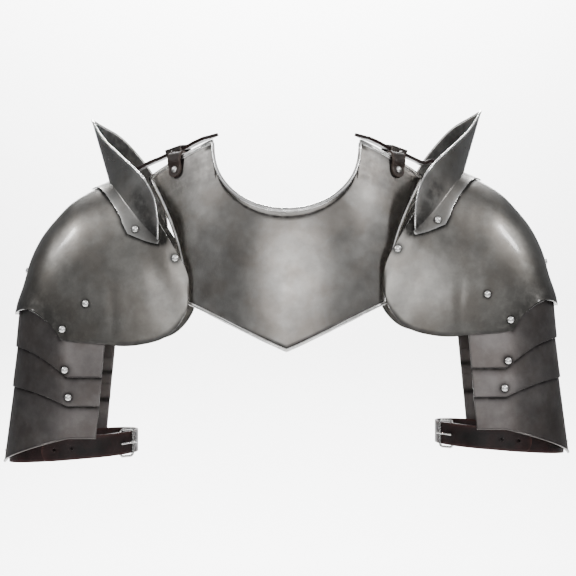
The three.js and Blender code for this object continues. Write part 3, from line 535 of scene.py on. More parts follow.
def hammered_sheet(name, columns, rows, place, to_world, outward, edge_round=0.35, rim_reach=2.4, shade_marks=()):
    """A flat grid laid on the form, its rim marked for the rim tone (rubbed, and a painted highlight on
    light-rimmed steel, painted shade on dark-rimmed steel) and its painted shade marked, then given its
    thickness and a rounded edge.
    """
    bpy.ops.object.select_all(action="DESELECT")
    bpy.ops.mesh.primitive_grid_add(x_subdivisions=columns, y_subdivisions=rows, size=1)
    sheet = bpy.context.object
    sheet.name = sheet.data.name = name
    grid = {}
    for vertex in sheet.data.vertices:
        i, j = round((vertex.co.x + 0.5) * columns), round((vertex.co.y + 0.5) * rows)
        grid[i, j] = vertex.index
        vertex.co = to_world(place(i / columns, j / rows))
    rim = sheet.data.attributes.new("rim", "FLOAT", "POINT")
    co = [v.co.copy() for v in sheet.data.vertices]
    for (i, j), index in grid.items():
        ends = ((0, j), (columns, j), (i, 0), (i, rows))
        nearest = min((co[index] - co[grid[end]]).length for end in ends) / MM
        rim.data[index].value = math.exp(-nearest / rim_reach)
    mark_painted_shade(sheet, shade_marks)
    sheet.data.update()
    middle = sheet.data.polygons[len(sheet.data.polygons) // 2 + columns // 2]
    if middle.normal.dot(outward) < 0:
        only(sheet)
        bpy.ops.object.mode_set(mode="EDIT")
        bpy.ops.mesh.select_all(action="SELECT")
        bpy.ops.mesh.flip_normals()
        bpy.ops.object.mode_set(mode="OBJECT")
    add_modifier(sheet, "SOLIDIFY", thickness=SHEET * MM, offset=-1)
    round_edges(sheet, edge_round, 2, 60)
    soften(sheet)
    return sheet


def rolled_edge(name, points, radius, closed=False):
    """A wire-rolled rim: a tube along the points, in metres, its ends closed."""
    curve = bpy.data.curves.new(name, "CURVE")
    curve.dimensions = "3D"
    curve.bevel_depth = radius * MM
    curve.bevel_resolution = 3
    curve.use_fill_caps = True
    spline = curve.splines.new("POLY")
    spline.points.add(len(points) - 1)
    for knot, point in zip(spline.points, points):
        knot.co = (*point, 1)
    spline.use_cyclic_u = closed
    tube = bpy.data.objects.new(name, curve)
    bpy.context.collection.objects.link(tube)
    only(tube)
    bpy.ops.object.convert(target="MESH")
    tube = bpy.context.object
    # The whole tube is marked as rim, so it takes its steel's rim tone: a painted highlight on the gorget and
    # guard beads, painted shade on the lame's bead.
    rim = tube.data.attributes.new("rim", "FLOAT", "POINT")
    for value in rim.data:
        value.value = 1.0
    bpy.ops.object.shade_smooth()
    return tube


def leather_band(name, stations, to_world, thickness=LEATHER, across=8):
    """A strap laid along its stations: a flat grid first, then its thickness and rounded edges."""
    count = len(stations) - 1
    bpy.ops.object.select_all(action="DESELECT")
    bpy.ops.mesh.primitive_grid_add(x_subdivisions=count, y_subdivisions=across, size=1)
    band = bpy.context.object
    band.name = band.data.name = name
    rim = band.data.attributes.new("rim", "FLOAT", "POINT")
    for vertex in band.data.vertices:
        i, w = round((vertex.co.x + 0.5) * count), vertex.co.y * 2
        point, half, out = stations[i]
        worn = 0.12 * noise.noise((point + half * w) * 0.09)
        vertex.co = to_world(point + half * w + out * (thickness + worn))
        ends = min(i, count - i) * (stations[1][0] - stations[0][0]).length
        rim.data[vertex.index].value = math.exp(-min((1 - abs(w)) * half.length, ends) / 1.6)
    band.data.update()
    i = round(count * 0.5)
    outward = to_world(stations[i][0] + stations[i][2]) - to_world(stations[i][0])
    nearest = min(band.data.polygons, key=lambda f: (f.center - to_world(stations[i][0])).length)
    if nearest.normal.dot(outward) < 0:
        only(band)
        bpy.ops.object.mode_set(mode="EDIT")
        bpy.ops.mesh.select_all(action="SELECT")
        bpy.ops.mesh.flip_normals()
        bpy.ops.object.mode_set(mode="OBJECT")
    add_modifier(band, "SOLIDIFY", thickness=thickness * MM, offset=-1)
    round_edges(band, 0.55, 3, 60)
    soften(band, 50)
    return band


def finished(piece, finish, body, nodes):
    piece.data.materials.clear()
    piece.data.materials.append(finish)
    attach(piece, body)
    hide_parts(*nodes)
    return piece


def rivet_blank():
    """A domed head standing on Z = 0: the upper half of a flattened ball on a short straight foot."""
    bpy.ops.object.select_all(action="DESELECT")
    bpy.ops.mesh.primitive_uv_sphere_add(segments=28, ring_count=20, radius=HEAD_RADIUS * MM)
    blank = bpy.context.object
    blank.scale = (1, 1, HEAD_FLAT)
    set_place(blank)
    bpy.ops.object.mode_set(mode="EDIT")
    bpy.ops.mesh.select_all(action="SELECT")
    bpy.ops.mesh.bisect(plane_co=(0, 0, 0), plane_no=(0, 0, 1), use_fill=True, clear_inner=True)
    bpy.ops.mesh.extrude_region_move(TRANSFORM_OT_translate={"value": (0, 0, -HEAD_FOOT * MM)})
    bpy.ops.mesh.select_all(action="SELECT")
    bpy.ops.transform.translate(value=(0, 0, HEAD_FOOT * MM))
    bpy.ops.mesh.normals_make_consistent(inside=False)
    bpy.ops.object.mode_set(mode="OBJECT")
    soften(blank, 50)
    return blank


def shank_blank(length):
    bpy.ops.object.select_all(action="DESELECT")
    bpy.ops.mesh.primitive_cylinder_add(vertices=20, radius=SHANK_RADIUS * MM, depth=length * MM,
                                        location=(0, 0, -length / 2 * MM))
    shank = bpy.context.object
    round_edges(shank, 0.25, 2)
    soften(shank, 50)
    set_place(shank)
    return shank


def set_rivet(name, seat, out, length=0.0):
    """A rivet with its foot on the seat, in metres, its head towards out."""
    parts = [rivet_blank()]
    if length:
        parts.append(shank_blank(length))
    rivet = joined(parts)
    rivet.name = rivet.data.name = name
    turn = Vector((0, 0, 1)).rotation_difference(out).to_matrix().to_4x4()
    rivet.matrix_world = Matrix.Translation(seat) @ turn
    set_place(rivet)
    return rivet


def mirrored_out(side, out):
    return Vector((SIDES[side] * out.x, out.y, out.z))


# Finishes


class Finish:
    """A material and a short hand for its nodes."""

    def __init__(self, name, metallic, roughness):
        self.material = bpy.data.materials.new(name)
        self.material.use_nodes = True
        self.tree = self.material.node_tree
        self.shader = next(n for n in self.tree.nodes if n.type == "BSDF_PRINCIPLED")
        self.shader.inputs["Metallic"].default_value = metallic
        self.shader.inputs["Roughness"].default_value = roughness
        self.place = self.tree.nodes.new("ShaderNodeTexCoord").outputs["Object"]

    def node(self, kind, **settings):
        node = self.tree.nodes.new(kind)
        for key, value in settings.items():
            setattr(node, key, value)
        return node

    def join(self, source, target):
        self.tree.links.new(source, target)

    def stretched(self, scale, turn=(0, 0, 0)):
        mapping = self.node("ShaderNodeMapping")
        mapping.inputs["Scale"].default_value = scale
        mapping.inputs["Rotation"].default_value = turn
        self.join(self.place, mapping.inputs["Vector"])
        return mapping.outputs["Vector"]

    def clouds(self, scale, detail=4.0, rough=0.55, vector=None, seed=0.0):
        node = self.node("ShaderNodeTexNoise", noise_dimensions="4D")
        node.inputs["Scale"].default_value = scale
        node.inputs["Detail"].default_value = detail
        node.inputs["Roughness"].default_value = rough
        node.inputs["W"].default_value = seed
        self.join(vector or self.place, node.inputs["Vector"])
        return node.outputs["Fac"]

    def cells(self, scale, feature="F1", vector=None):
        node = self.node("ShaderNodeTexVoronoi", feature=feature)
        node.inputs["Scale"].default_value = scale
        self.join(vector or self.place, node.inputs["Vector"])
        return node.outputs["Distance"]

    def spread(self, source, low, high, to_low=0.0, to_high=1.0):
        node = self.node("ShaderNodeMapRange", interpolation_type="SMOOTHSTEP")
        for key, value in (("From Min", low), ("From Max", high), ("To Min", to_low), ("To Max", to_high)):
            node.inputs[key].default_value = value
        self.join(source, node.inputs["Value"])
        return node.outputs["Result"]

    def sums(self, operation, first, second):
        node = self.node("ShaderNodeMath", operation=operation)
        for socket, value in zip(node.inputs, (first, second)):
            if isinstance(value, (int, float)):
                socket.default_value = value
            else:
                self.join(value, socket)
        return node.outputs["Value"]

    def blended(self, share, first, second):
        node = self.node("ShaderNodeMix", data_type="RGBA")
        self.join(share, node.inputs["Factor"])
        for socket, colour in ((node.inputs[6], first), (node.inputs[7], second)):
            if isinstance(colour, tuple):
                socket.default_value = (*colour, 1)
            else:
                self.join(colour, socket)
        return node.outputs[2]

    def marked(self, name):
        return self.node("ShaderNodeAttribute", attribute_name=name).outputs["Fac"]

    def relief(self, layers):
        """Bumps laid on each other: (height, strength, distance in mm)."""
        normal = None
        for height, strength, distance in layers:
            bump = self.node("ShaderNodeBump")
            bump.inputs["Strength"].default_value = strength
            bump.inputs["Distance"].default_value = distance * MM
            self.join(height, bump.inputs["Height"])
            if normal:
                self.join(normal, bump.inputs["Normal"])
            normal = bump.outputs["Normal"]
        self.join(normal, self.shader.inputs["Normal"])

    def done(self, colour, roughness):
        self.join(colour, self.shader.inputs["Base Color"])
        self.join(roughness, self.shader.inputs["Roughness"])
        return self.material


def worked_steel(name, dark, light, edge, low_rough, high_rough, dents, oil=0.0):
    """Hand-worked plate: browned clouds, shallow dents, polishing lines, painted shade where a piece is
    marked, and rubbed rims in the rim tone, a painted highlight when that tone is light and painted shade
    when it is dark.
    """
    steel = Finish(name, 1.0, 0.4)
    steel.shader.inputs["Coat Weight"].default_value = oil
    steel.shader.inputs["Coat Roughness"].default_value = 0.13
    broad = steel.spread(steel.clouds(9, 3, 0.5, seed=1.5), 0.3, 0.7)
    mottle = steel.spread(steel.clouds(64, 5, 0.62, seed=4.0), 0.3, 0.72)
    shade = steel.sums("ADD", steel.sums("MULTIPLY", broad, 0.55), steel.sums("MULTIPLY", mottle, 0.45))
    body = steel.blended(shade, dark, light)
    warmth = steel.spread(steel.clouds(28, 5, 0.62, seed=11.0), 0.42, 0.62, 0.0, 0.42)
    body = steel.blended(warmth, body, tuple(c * t for c, t in zip(dark, (1.0, 0.9, 0.82))))
    specks = steel.spread(steel.clouds(420, 3, 0.7, seed=7.0), 0.6, 0.78)
    body = steel.blended(steel.sums("MULTIPLY", specks, 0.16), body, tuple(c * 0.45 for c in dark))
    # Near each rim the colour goes to the rim tone: rubbed steel, with a painted highlight on plate and guard
    # rims and painted shade on cap and lame rims.
    worn = steel.sums("MULTIPLY", steel.marked("rim"),
                      steel.spread(steel.clouds(60, 4, 0.6, seed=2.0), 0.3, 0.6, 0.35, 1))
    colour = steel.blended(worn, body, edge)
    # Painted shade: where a piece is marked the colour goes almost to black and a little rougher, for the
    # shade under hems, round rivets and along grooves.
    painted_shade = steel.sums("MULTIPLY", steel.marked("painted_shade"),
                      steel.spread(steel.clouds(110, 4, 0.6, seed=12.0), 0.3, 0.6, 0.7, 0.97))
    colour = steel.blended(painted_shade, colour, tuple(c * 0.12 for c in dark))
    rough = steel.spread(steel.clouds(34, 5, 0.62, seed=9.0), 0.3, 0.7, low_rough, high_rough)
    rough = steel.sums("ADD", rough, steel.sums("MULTIPLY", specks, 0.06))
    rough = steel.sums("SUBTRACT", rough, steel.sums("MULTIPLY", worn, 0.08))
    rough = steel.sums("ADD", rough, steel.sums("MULTIPLY", painted_shade, 0.2))
    dent = steel.clouds(26, 2, 0.5, seed=3.0)
    brushed = steel.clouds(1, 3, 0.6, vector=steel.stretched((900, 900, 140), (0.2, 0.15, 0)), seed=5.0)
    steel.relief(((dent, dents, 2.2), (steel.clouds(240, 4, 0.6, seed=6.0), 0.14, 0.3), (brushed, 0.1, 0.12)))
    return steel.done(colour, rough)


def bright_steel(name, tone, low_rough, high_rough):
    """Rivet heads and buckles: rubbed bright, with darker patches at random."""
    steel = Finish(name, 1.0, 0.3)
    stain = steel.spread(steel.clouds(330, 4, 0.6), 0.35, 0.68)
    colour = steel.blended(stain, tuple(c * 0.9 for c in tone), tone)
    rough = steel.spread(steel.clouds(520, 3, 0.6, seed=2.0), 0.3, 0.7, low_rough, high_rough)
    steel.relief(((steel.clouds(700, 4, 0.6, seed=3.0), 0.05, 0.2),))
    return steel.done(colour, rough)


def old_leather(name, dark, light, edge, low_rough, high_rough):
    """Strap leather: pebbled grain, creases across, rubbed edges."""
    hide = Finish(name, 0.0, 0.6)
    shade = hide.spread(hide.clouds(38, 5, 0.6, seed=2.0), 0.3, 0.7)
    colour = hide.blended(shade, dark, light)
    grain = hide.cells(620)
    pores = hide.spread(grain, 0.0, 0.5)
    colour = hide.blended(hide.sums("MULTIPLY", pores, 0.3), colour, dark)
    colour = hide.blended(hide.sums("MULTIPLY", hide.marked("rim"), 0.8), colour, edge)
    rough = hide.spread(hide.clouds(90, 4, 0.6, seed=5.0), 0.3, 0.7, low_rough, high_rough)
    creases = hide.clouds(1, 3, 0.6, vector=hide.stretched((260, 260, 40)), seed=8.0)
    hide.shader.inputs["Specular IOR Level"].default_value = 0.3
    hide.relief(((creases, 0.35, 0.6), (grain, 0.5, 0.35), (hide.clouds(1400, 3, 0.6), 0.2, 0.12)))
    return hide.done(colour, rough)


# Each steel: dark and light tone, tone of the rims (rubbed, plus a painted highlight on plate and guard,
# painted shade on cap and lames), low and high roughness, depth of the dents
PLATE = worked_steel("plate_steel", (0.24, 0.228, 0.214), (0.4, 0.388, 0.37), (0.97, 0.96, 0.94),
                     0.29, 0.39, 0.2)
CAP = worked_steel("cap_steel", (0.15, 0.143, 0.132), (0.29, 0.28, 0.26), (0.12, 0.115, 0.108),
                   0.33, 0.43, 0.2, oil=0.4)
BROWNED = worked_steel("browned_steel", (0.11, 0.1, 0.097), (0.22, 0.203, 0.197), (0.13, 0.12, 0.116),
                       0.34, 0.46, 0.25)
GUARD = worked_steel("guard_steel", (0.25, 0.244, 0.233), (0.4, 0.392, 0.376), (0.9, 0.89, 0.87),
                     0.24, 0.36, 0.18)
RIVET = bright_steel("rivet_steel", (0.95, 0.94, 0.92), 0.34, 0.4)
BUCKLE = bright_steel("buckle_steel", (0.62, 0.61, 0.59), 0.2, 0.3)
KEEPER = bright_steel("keeper_steel", (0.15, 0.13, 0.12), 0.24, 0.36)
STRAP = old_leather("strap_leather", (0.004, 0.003, 0.003), (0.022, 0.009, 0.008), (0.02, 0.01, 0.009),
                    0.34, 0.55)
BAND = old_leather("band_leather", (0.004, 0.0028, 0.0026), (0.022, 0.0075, 0.0068), (0.05, 0.02, 0.017),
                   0.34, 0.55)
TAB = old_leather("tab_leather", (0.014, 0.01, 0.009), (0.044, 0.031, 0.026), (0.075, 0.055, 0.046),
                  0.38, 0.58)


# The gorget plate


def make_gorget():
    # Painted shade: dark lines along the grooves beside the neck flange, the lower edge and the sides, and a
    # broad darkening at both neck ends that dims the window lights' reflection there.
    shade_lines = []
    for k in range(241):
        across = mix(-1, 1, k / 240)
        top, hem = gorget_point(across, 0), gorget_point(across, 1)
        fold = (FLANGE + 1.2 if abs(across) < NECK_SHARE else EDGE_FOLD) / (top - hem).length
        shade_lines.append(gorget_point(across, fold) * MM)
        shade_lines.append(gorget_point(across, 1 - 3.8 / (top - hem).length) * MM)
    shaded_corners = [gorget_point(side * out / 100, down / 100) * MM for side in (-1, 1) for out in range(66, 97, 3)
               for down in range(4, 24, 4)]
    side_in = 1 - EDGE_FOLD / TO_SIDE
    shade_lines += [gorget_point(side * side_in, k / 90) * MM for side in (-1, 1) for k in range(91)]
    sheet = hammered_sheet("gorget", 210, 100, lambda along, down: gorget_point(2 * along - 1, down), plain,
                           Vector((0, -1, 0)), shade_marks=[(shade_lines, 0.7, 1.3, 1), (shaded_corners, 2, 22, 0.55)])
    inset = 1.0 - GORGET_BEAD / TO_SIDE
    near = GORGET_BEAD / 150
    middle = Vector((0, SHEET / 2, 0))
    loop = [gorget_point(mix(-inset, inset, k / 150), near * 1.4) for k in range(151)]
    loop += [gorget_point(inset, k / 40) for k in range(1, 40)]
    loop += [gorget_point(mix(inset, -inset, k / 110), 1 - near) for k in range(111)]
    loop += [gorget_point(-inset, 1 - k / 40) for k in range(1, 40)]
    # The rolled bead is marked as rim all over and takes the plate's bright rim tone: a painted highlight.
    roll = rolled_edge("gorget_roll", [(p + middle) * MM for p in loop], GORGET_BEAD, closed=True)
    plate = joined([sheet, roll])
    finished(plate, PLATE, "harness", ["gorget_plate"])


# The pauldrons


def make_shell(side):
    world = to_side(side)
    # Painted shade: a dark line round the guard's flange, rings round the rivet seats, the cap's neck end
    # behind the guard, and a darkening that grows towards the lower edge.
    shade_lines = [world(flange_point(k / 60, 1.0, 0)) for k in range(-60, 61)]
    gap_shade = [world(cap_point(rib / 100, turn)) for rib in range(0, 6) for turn in range(-68, 69, 2)]
    hem = [world(cap_point(1, turn)) for turn in range(-90, 91)]
    seats = [cap_point(*place) for _, place in CAP_RIVETS]
    seats += [Vector((seat.x, -seat.y, seat.z)) for seat in seats]
    seats += [cap_face_at(*LAMES[0]["pivot"])[0], cap_point(SIDE_RIB, 0), cap_point(STRAP_RIB, 0)]
    shell = hammered_sheet(f"cap_{side}", 140, 160, shell_point, world, Vector((SIDES[side], 0, 1.5)),
                           edge_round=0.45, rim_reach=1.2,
                           shade_marks=[(shade_lines, 1.6, 1.9, 1), ([world(seat) for seat in seats], 4.4, 2.0, 1),
                                  (gap_shade, 3, 3, 1), (hem, 6, 42, 0.84)])
    finished(shell, CAP, "harness", [f"shell_{side}"])


def make_guard(side):
    def place(along, down):
        near, far = max(down - 0.012, 0), min(down + 0.012, 1)
        return (guard_point(along, near) + guard_point(along, far)) / 2

    world = to_side(side)
    # Painted shade: rings round the rivet seats, a patch on the front end's wall, and the back half, whose
    # inside faces the front.
    seats = [world(flange_point(station, 0.5, STAND_OFF + SHEET)) for station in (-GUARD_RIVET, GUARD_RIVET)]
    front = [world(place(along / 100, down / 100)) for along in range(1, 22) for down in range(38, 52, 2)]
    back = [world(place(along / 100, down / 100)) for along in range(56, 96) for down in range(8, 60, 2)]
    sheet = hammered_sheet(f"guard_{side}", 120, 80, place, world, Vector((-SIDES[side], 0, 0.2)),
                           edge_round=0.4, rim_reach=1.4,
                           shade_marks=[(seats, 4.2, 1.8, 1), (front, 3, 15, 0.9), (back, 3, 4, 0.82)])
    rim = [guard_point(k / 120, 0.012) for k in range(121)]
    shifted = [world(p + Vector((SHEET / 2, 0, 0))) for p in rim]
    # The rolled rim is marked as rim all over and takes the guard's bright rim tone: a painted highlight.
    guard = joined([sheet, rolled_edge("guard_roll", shifted, 1.25)])
    finished(guard, GUARD, "harness", [f"haute_piece_{side}"])


def make_lames(side):
    world = to_side(side)
    for k, rows in enumerate((18, 20, 40)):
        turns = [i / 80 for i in range(-80, 81)]
        # Painted shade: a band under the hem of the piece above, and rings round the seats of the next pivot
        # rivets.
        above = [lame_point(k - 1, turn, 1) if k else cap_point(1, 90 * turn) for turn in turns]
        seats = [Vector((x, side_out * lame_depth(k), z)) for x, z in [LAMES[k + 1]["pivot"]]
                 for side_out in (-1, 1)] if k < 2 else []
        shade_marks = [([world(place) for place in above], 2.4, 2.2, 0.95)]
        if seats:
            shade_marks.append(([world(seat) for seat in seats], 4.4, 2.0, 1))
        lame = hammered_sheet(f"arm_lame_{k + 1}_{side}", 130, rows * 2, lame_face(k), world,
                              Vector((SIDES[side], 0, 0)), edge_round=0.4, rim_reach=1.0, shade_marks=shade_marks)
        if k == 2:
            hem = [world(lame_point(k, mix(-1, 1, i / 120), 0.99)) for i in range(121)]
            # The rolled hem takes the lames' dark rim tone: painted shade.
            lame = joined([lame, rolled_edge("lame_roll", hem, 0.95)])
        finished(lame, BROWNED, f"lame_{k + 1}_{side}", [f"lame_{k + 1}_{side}"])


def pivot_head_depth(k):
    if k > 0:
        return lame_depth(k - 1) + 0.3
    x, z = LAMES[0]["pivot"]
    rim = [cap_face_at(x + 3.7 * math.cos(turn), z + 3.7 * math.sin(turn))[0].y
           for turn in (math.radians(45 * i) for i in range(8))]
    return -min(rim) + SEAT_PLAY


def make_rivets(side):
    world = to_side(side)

    def put(name, seat, out, body="harness", length=0.0):
        rivet = set_rivet(f"{name}_head_{side}", world(seat), mirrored_out(side, out), length)
        finished(rivet, RIVET, body, [f"{name}_{side}"])

    def front_and_back(name, seat, out, body="harness", length=0.0):
        put(f"{name}_front", seat, out, body, length)
        put(f"{name}_back", Vector((seat.x, -seat.y, seat.z)), Vector((out.x, -out.y, out.z)), body, length)

    for name, (rib, turn) in CAP_RIVETS:
        out = cap_normal(rib, turn)
        front_and_back(name, cap_point(rib, turn) + out * SEAT_PLAY, out)
    rib, turn = flange_place(-GUARD_RIVET, 0.5)
    out = cap_normal(rib, turn)
    front_and_back("haute_rivet", cap_point(rib, turn) + out * (STAND_OFF + SHEET + 0.2), out)
    put("side_rivet", cap_point(SIDE_RIB, 0) + cap_normal(SIDE_RIB, 0) * SEAT_PLAY, cap_normal(SIDE_RIB, 0))
    out = cap_normal(STRAP_RIB, 0)
    put("strap_rivet", cap_point(STRAP_RIB, 0) + out * (STRAP_LIFT + NECK_LEATHER + SEAT_PLAY), out)
    for k in range(3):
        depth = pivot_head_depth(k)
        x, z = LAMES[k]["pivot"]
        length = depth - (lame_depth(k) - SHEET) + 1.2
        body = f"lame_{k}_{side}" if k else "harness"
        front_and_back(f"pivot_rivet_{k + 1}", Vector((x, -depth, z)), Vector((0, -1, 0)), body, length)


# Straps and buckles


def make_shoulder_strap(side):
    route = strap_route(HANG[side])

    def world(point):
        return Vector((SIDES[side] * point.x, point.y, point.z)) * MM

    stations = []
    for k in range(121):
        point, along, across, up = strap_frame(route, k / 120)
        stations.append((point, across * STRAP_WIDTH / 2, up))
    strap = leather_band(f"neck_strap_{side}", stations, world, NECK_LEATHER)
    finished(strap, STRAP, "harness", [f"shoulder_strap_{side}"])

    point, along, across, up = strap_frame(route, LOOP_STATION)
    point = point + up * LEATHER / 2
    loop = box_loop(f"keeper_{side}")
    turn = Matrix((along, across, up)).transposed().to_4x4()
    loop.matrix_world = Matrix.Diagonal((SIDES[side], 1, 1, 1)) @ Matrix.Translation(point * MM) @ turn
    set_place(loop)
    face_out(loop)
    finished(loop, KEEPER, "harness", [f"shoulder_loop_{side}"])

    tab = leather_band(f"neck_tab_{side}", tab_stations((point, along, across, up)), world, across=10)
    finished(tab, TAB, "harness", [f"shoulder_tab_{side}"])
    seat, _, out = tab_face(TAB_RIVET_Z)
    rivet = set_rivet(f"tab_rivet_head_{side}", world(seat + out * (LEATHER + 0.6)), mirrored_out(side, out))
    finished(rivet, RIVET, "harness", [f"tab_rivet_{side}"])


def face_out(piece):
    only(piece)
    bpy.ops.object.mode_set(mode="EDIT")
    bpy.ops.mesh.select_all(action="SELECT")
    bpy.ops.mesh.normals_make_consistent(inside=False)
    bpy.ops.object.mode_set(mode="OBJECT")


def box_loop(name):
    """A block the size of the loop, its ends inset by the wall and bridged through."""
    wide = STRAP_WIDTH + 2 * (LOOP_PLAY + LOOP_WALL)
    high = LEATHER + 2 * (LOOP_RISE + LOOP_WALL)
    bpy.ops.object.select_all(action="DESELECT")
    bpy.ops.mesh.primitive_cube_add(size=1)
    loop = bpy.context.object
    loop.name = loop.data.name = name
    loop.scale = (LOOP_LENGTH * MM, wide * MM, high * MM)
    set_place(loop)
    bpy.ops.object.mode_set(mode="EDIT")
    bpy.ops.mesh.select_mode(type="FACE")
    bpy.ops.mesh.select_all(action="DESELECT")
    bpy.ops.object.mode_set(mode="OBJECT")
    for face in loop.data.polygons:
        face.select = abs(face.normal.x) > 0.9
    bpy.ops.object.mode_set(mode="EDIT")
    bpy.ops.mesh.inset(thickness=LOOP_WALL * MM)
    bpy.ops.mesh.bridge_edge_loops()
    bpy.ops.object.mode_set(mode="OBJECT")
    round_edges(loop, 0.45, 3, 40)
    soften(loop, 50)
    return loop


def buckle_bars():
    rear = arm_place(BUCKLE_SHARE - 1.7 / ARM_ROUND, LEATHER / 2)[0]
    lift = 2 * LEATHER + LAYER_GAP + BUCKLE_PLAY + BUCKLE_WIRE
    front, front_out = arm_place(BUCKLE_SHARE - 15 / ARM_ROUND, lift)
    return rear, front, front_out


def make_arm_strap(side):
    body = f"lame_3_{side}"
    world = to_side(side)
    strap = leather_band(f"arm_band_{side}", arm_stations(), world)
    end = BUCKLE_SHARE + 1 + OVERLAP / ARM_ROUND
    for k in (1, 2):
        point, out = arm_place(end - (k * HOLE_PITCH - 4) / ARM_ROUND, 0)
        centre = world(point + out * (LEATHER + LAYER_GAP + LEATHER / 2))
        bpy.ops.object.select_all(action="DESELECT")
        bpy.ops.mesh.primitive_cylinder_add(vertices=20, radius=HOLE * MM, depth=PUNCH * MM, location=centre)
        punch = bpy.context.object
        punch.rotation_euler = Vector((0, 0, 1)).rotation_difference(mirrored_out(side, out)).to_euler()
        set_place(punch)
        add_modifier(strap, "BOOLEAN", operation="DIFFERENCE", object=punch, solver="EXACT")
        apply_modifiers(strap)
        bpy.data.objects.remove(punch)
    finished(strap, BAND, body, [f"arm_strap_{side}"])

    rear, front, front_out = buckle_bars()
    tall = ARM_HEIGHT / 2 + 1.2 + BUCKLE_WIRE
    corner = BUCKLE_CORNER
    outline = []
    for start, stop, sign in ((rear, front, 1), (front, rear, -1)):
        span = (stop - start).length
        for k in range(9):
            outline.append(start + Vector((0, 0, sign * (tall - corner) * (k / 8))))
        for k in range(1, 7):
            turn = math.radians(90 * k / 6)
            inward, up = corner * (1 - math.cos(turn)), corner * math.sin(turn)
            outline.append(start.lerp(stop, inward / span) + Vector((0, 0, sign * (tall - corner + up))))
        for k in range(1, 6):
            share = mix(corner / span, 1 - corner / span, k / 5)
            outline.append(start.lerp(stop, share) + Vector((0, 0, sign * tall)))
        for k in range(1, 7):
            turn = math.radians(90 * k / 6)
            inward, up = corner * (1 - math.sin(turn)), corner * math.cos(turn)
            outline.append(stop.lerp(start, inward / span) + Vector((0, 0, sign * (tall - corner + up))))
        for k in range(1, 9):
            outline.append(stop + Vector((0, 0, sign * (tall - corner) * (1 - k / 8))))
        outline.pop()
    frame_wire = rolled_edge(f"buckle_{side}", [world(p) for p in outline], BUCKLE_WIRE, closed=True)
    frame_wire.name = frame_wire.data.name = f"buckle_{side}"
    finished(frame_wire, BUCKLE, body, [f"arm_buckle_{side}"])

    root, _ = arm_place(BUCKLE_SHARE + 2 / ARM_ROUND, 2 * LEATHER + LAYER_GAP + BUCKLE_PLAY + PRONG)
    rest = front + front_out * (BUCKLE_WIRE + BUCKLE_PLAY + PRONG)
    reach = (rest - root).normalized()
    tip = rest + reach * 2.5
    bpy.ops.object.select_all(action="DESELECT")
    bpy.ops.mesh.primitive_cone_add(vertices=18, radius1=1.2 * MM, radius2=0.75 * MM,
                                    depth=(tip - root).length * MM)
    prong = bpy.context.object
    prong.name = prong.data.name = f"prong_{side}"
    round_edges(prong, 0.45, 3)
    direction = world(tip) - world(root)
    turn = Vector((0, 0, 1)).rotation_difference(direction).to_matrix().to_4x4()
    prong.matrix_world = Matrix.Translation((world(tip) + world(root)) / 2) @ turn
    set_place(prong)
    soften(prong, 50)
    finished(prong, BUCKLE, body, [f"buckle_prong_{side}"])

    pin_x = ARM_OUTER_X - LEATHER - 0.9
    seat = Vector((pin_x, 0, ARM_Z - ARM_TILT * (pin_x - WING_TOP_X)))
    pin = set_rivet(f"arm_pin_{side}", world(seat), Vector((-SIDES[side], 0, 0)), 8.5)
    finished(pin, RIVET, body, [f"strap_pin_{side}"])


make_gorget()
for side in SIDES:
    make_shell(side)
    make_guard(side)
    make_lames(side)
    make_rivets(side)
    make_shoulder_strap(side)
    make_arm_strap(side)


# The studio


def soft_box(name, place, target, wide, high, power):
    light = bpy.data.lights.new(name, "AREA")
    light.shape = "RECTANGLE"
    light.size, light.size_y = wide, high
    light.energy = power
    box = bpy.data.objects.new(name, light)
    bpy.context.collection.objects.link(box)
    box.visible_camera = False
    box.location = place
    box.rotation_euler = (Vector(target) - Vector(place)).to_track_quat("-Z", "Y").to_euler()


SWEEP_BEND = 500


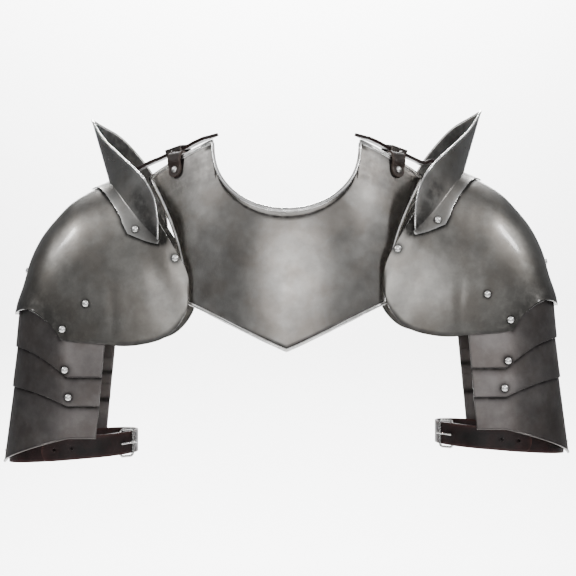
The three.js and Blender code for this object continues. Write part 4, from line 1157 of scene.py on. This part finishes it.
def make_sweep():
    """Floor and back wall in one piece, with a wide bend between them."""
    bpy.ops.object.select_all(action="DESELECT")
    bpy.ops.mesh.primitive_plane_add(size=1)
    sweep = bpy.context.object
    sweep.name = sweep.data.name = "studio_sweep"
    sweep.scale = (2.3, 3.9, 1)
    sweep.location = (0, 1.05, -0.8)
    set_place(sweep)
    for part in (*sweep.data.vertices, *sweep.data.polygons):
        part.select = False
    for edge in sweep.data.edges:
        edge.select = all(sweep.data.vertices[i].co.y > 2.9 for i in edge.vertices)
    bpy.ops.object.mode_set(mode="EDIT")
    bpy.ops.mesh.select_mode(type="EDGE")
    bpy.ops.mesh.extrude_region_move(TRANSFORM_OT_translate={"value": (0, 0, 2.0)})
    bpy.ops.object.mode_set(mode="OBJECT")
    round_edges(sweep, SWEEP_BEND, 12)
    bpy.ops.object.shade_smooth()
    paper = bpy.data.materials.new("studio_paper")
    paper.use_nodes = True
    shader = next(n for n in paper.node_tree.nodes if n.type == "BSDF_PRINCIPLED")
    shader.inputs["Base Color"].default_value = (0.94, 0.94, 0.94, 1)
    shader.inputs["Roughness"].default_value = 0.9
    sweep.data.materials.append(paper)


make_sweep()
world = bpy.data.worlds.new("studio_air")
world.use_nodes = True
world.node_tree.nodes["Background"].inputs["Color"].default_value = (0.8, 0.82, 0.85, 1)
world.node_tree.nodes["Background"].inputs["Strength"].default_value = 0.27
bpy.context.scene.world = world

soft_box("front_box", (0.2, -2.6, 0.3), (0, 0, -0.15), 1.75, 0.9, 24)
soft_box("left_window", (-2.0, -0.75, 1.5), (-0.2, 0, -0.1), 0.24, 0.36, 25)
soft_box("right_window", (2.05, -0.95, 1.35), (0.2, 0, -0.1), 0.24, 0.36, 27)
soft_box("top_box", (0, -1.1, 2.1), (0, 0, -0.1), 3.2, 2.2, 15)
soft_box("paper_light", (0, 1.9, 2.0), (0, 3.0, -0.3), 2.2, 0.6, 560)

camera = bpy.data.cameras.new("photo_camera")
camera.angle = 2 * math.atan(316.8 / 2150)
camera.clip_end = 50
eye = bpy.data.objects.new("photo_camera", camera)
bpy.context.collection.objects.link(eye)
eye.location = (0.00165, -2.15, -0.1518)
eye.rotation_euler = (math.radians(90), 0, 0)
bpy.context.scene.camera = eye
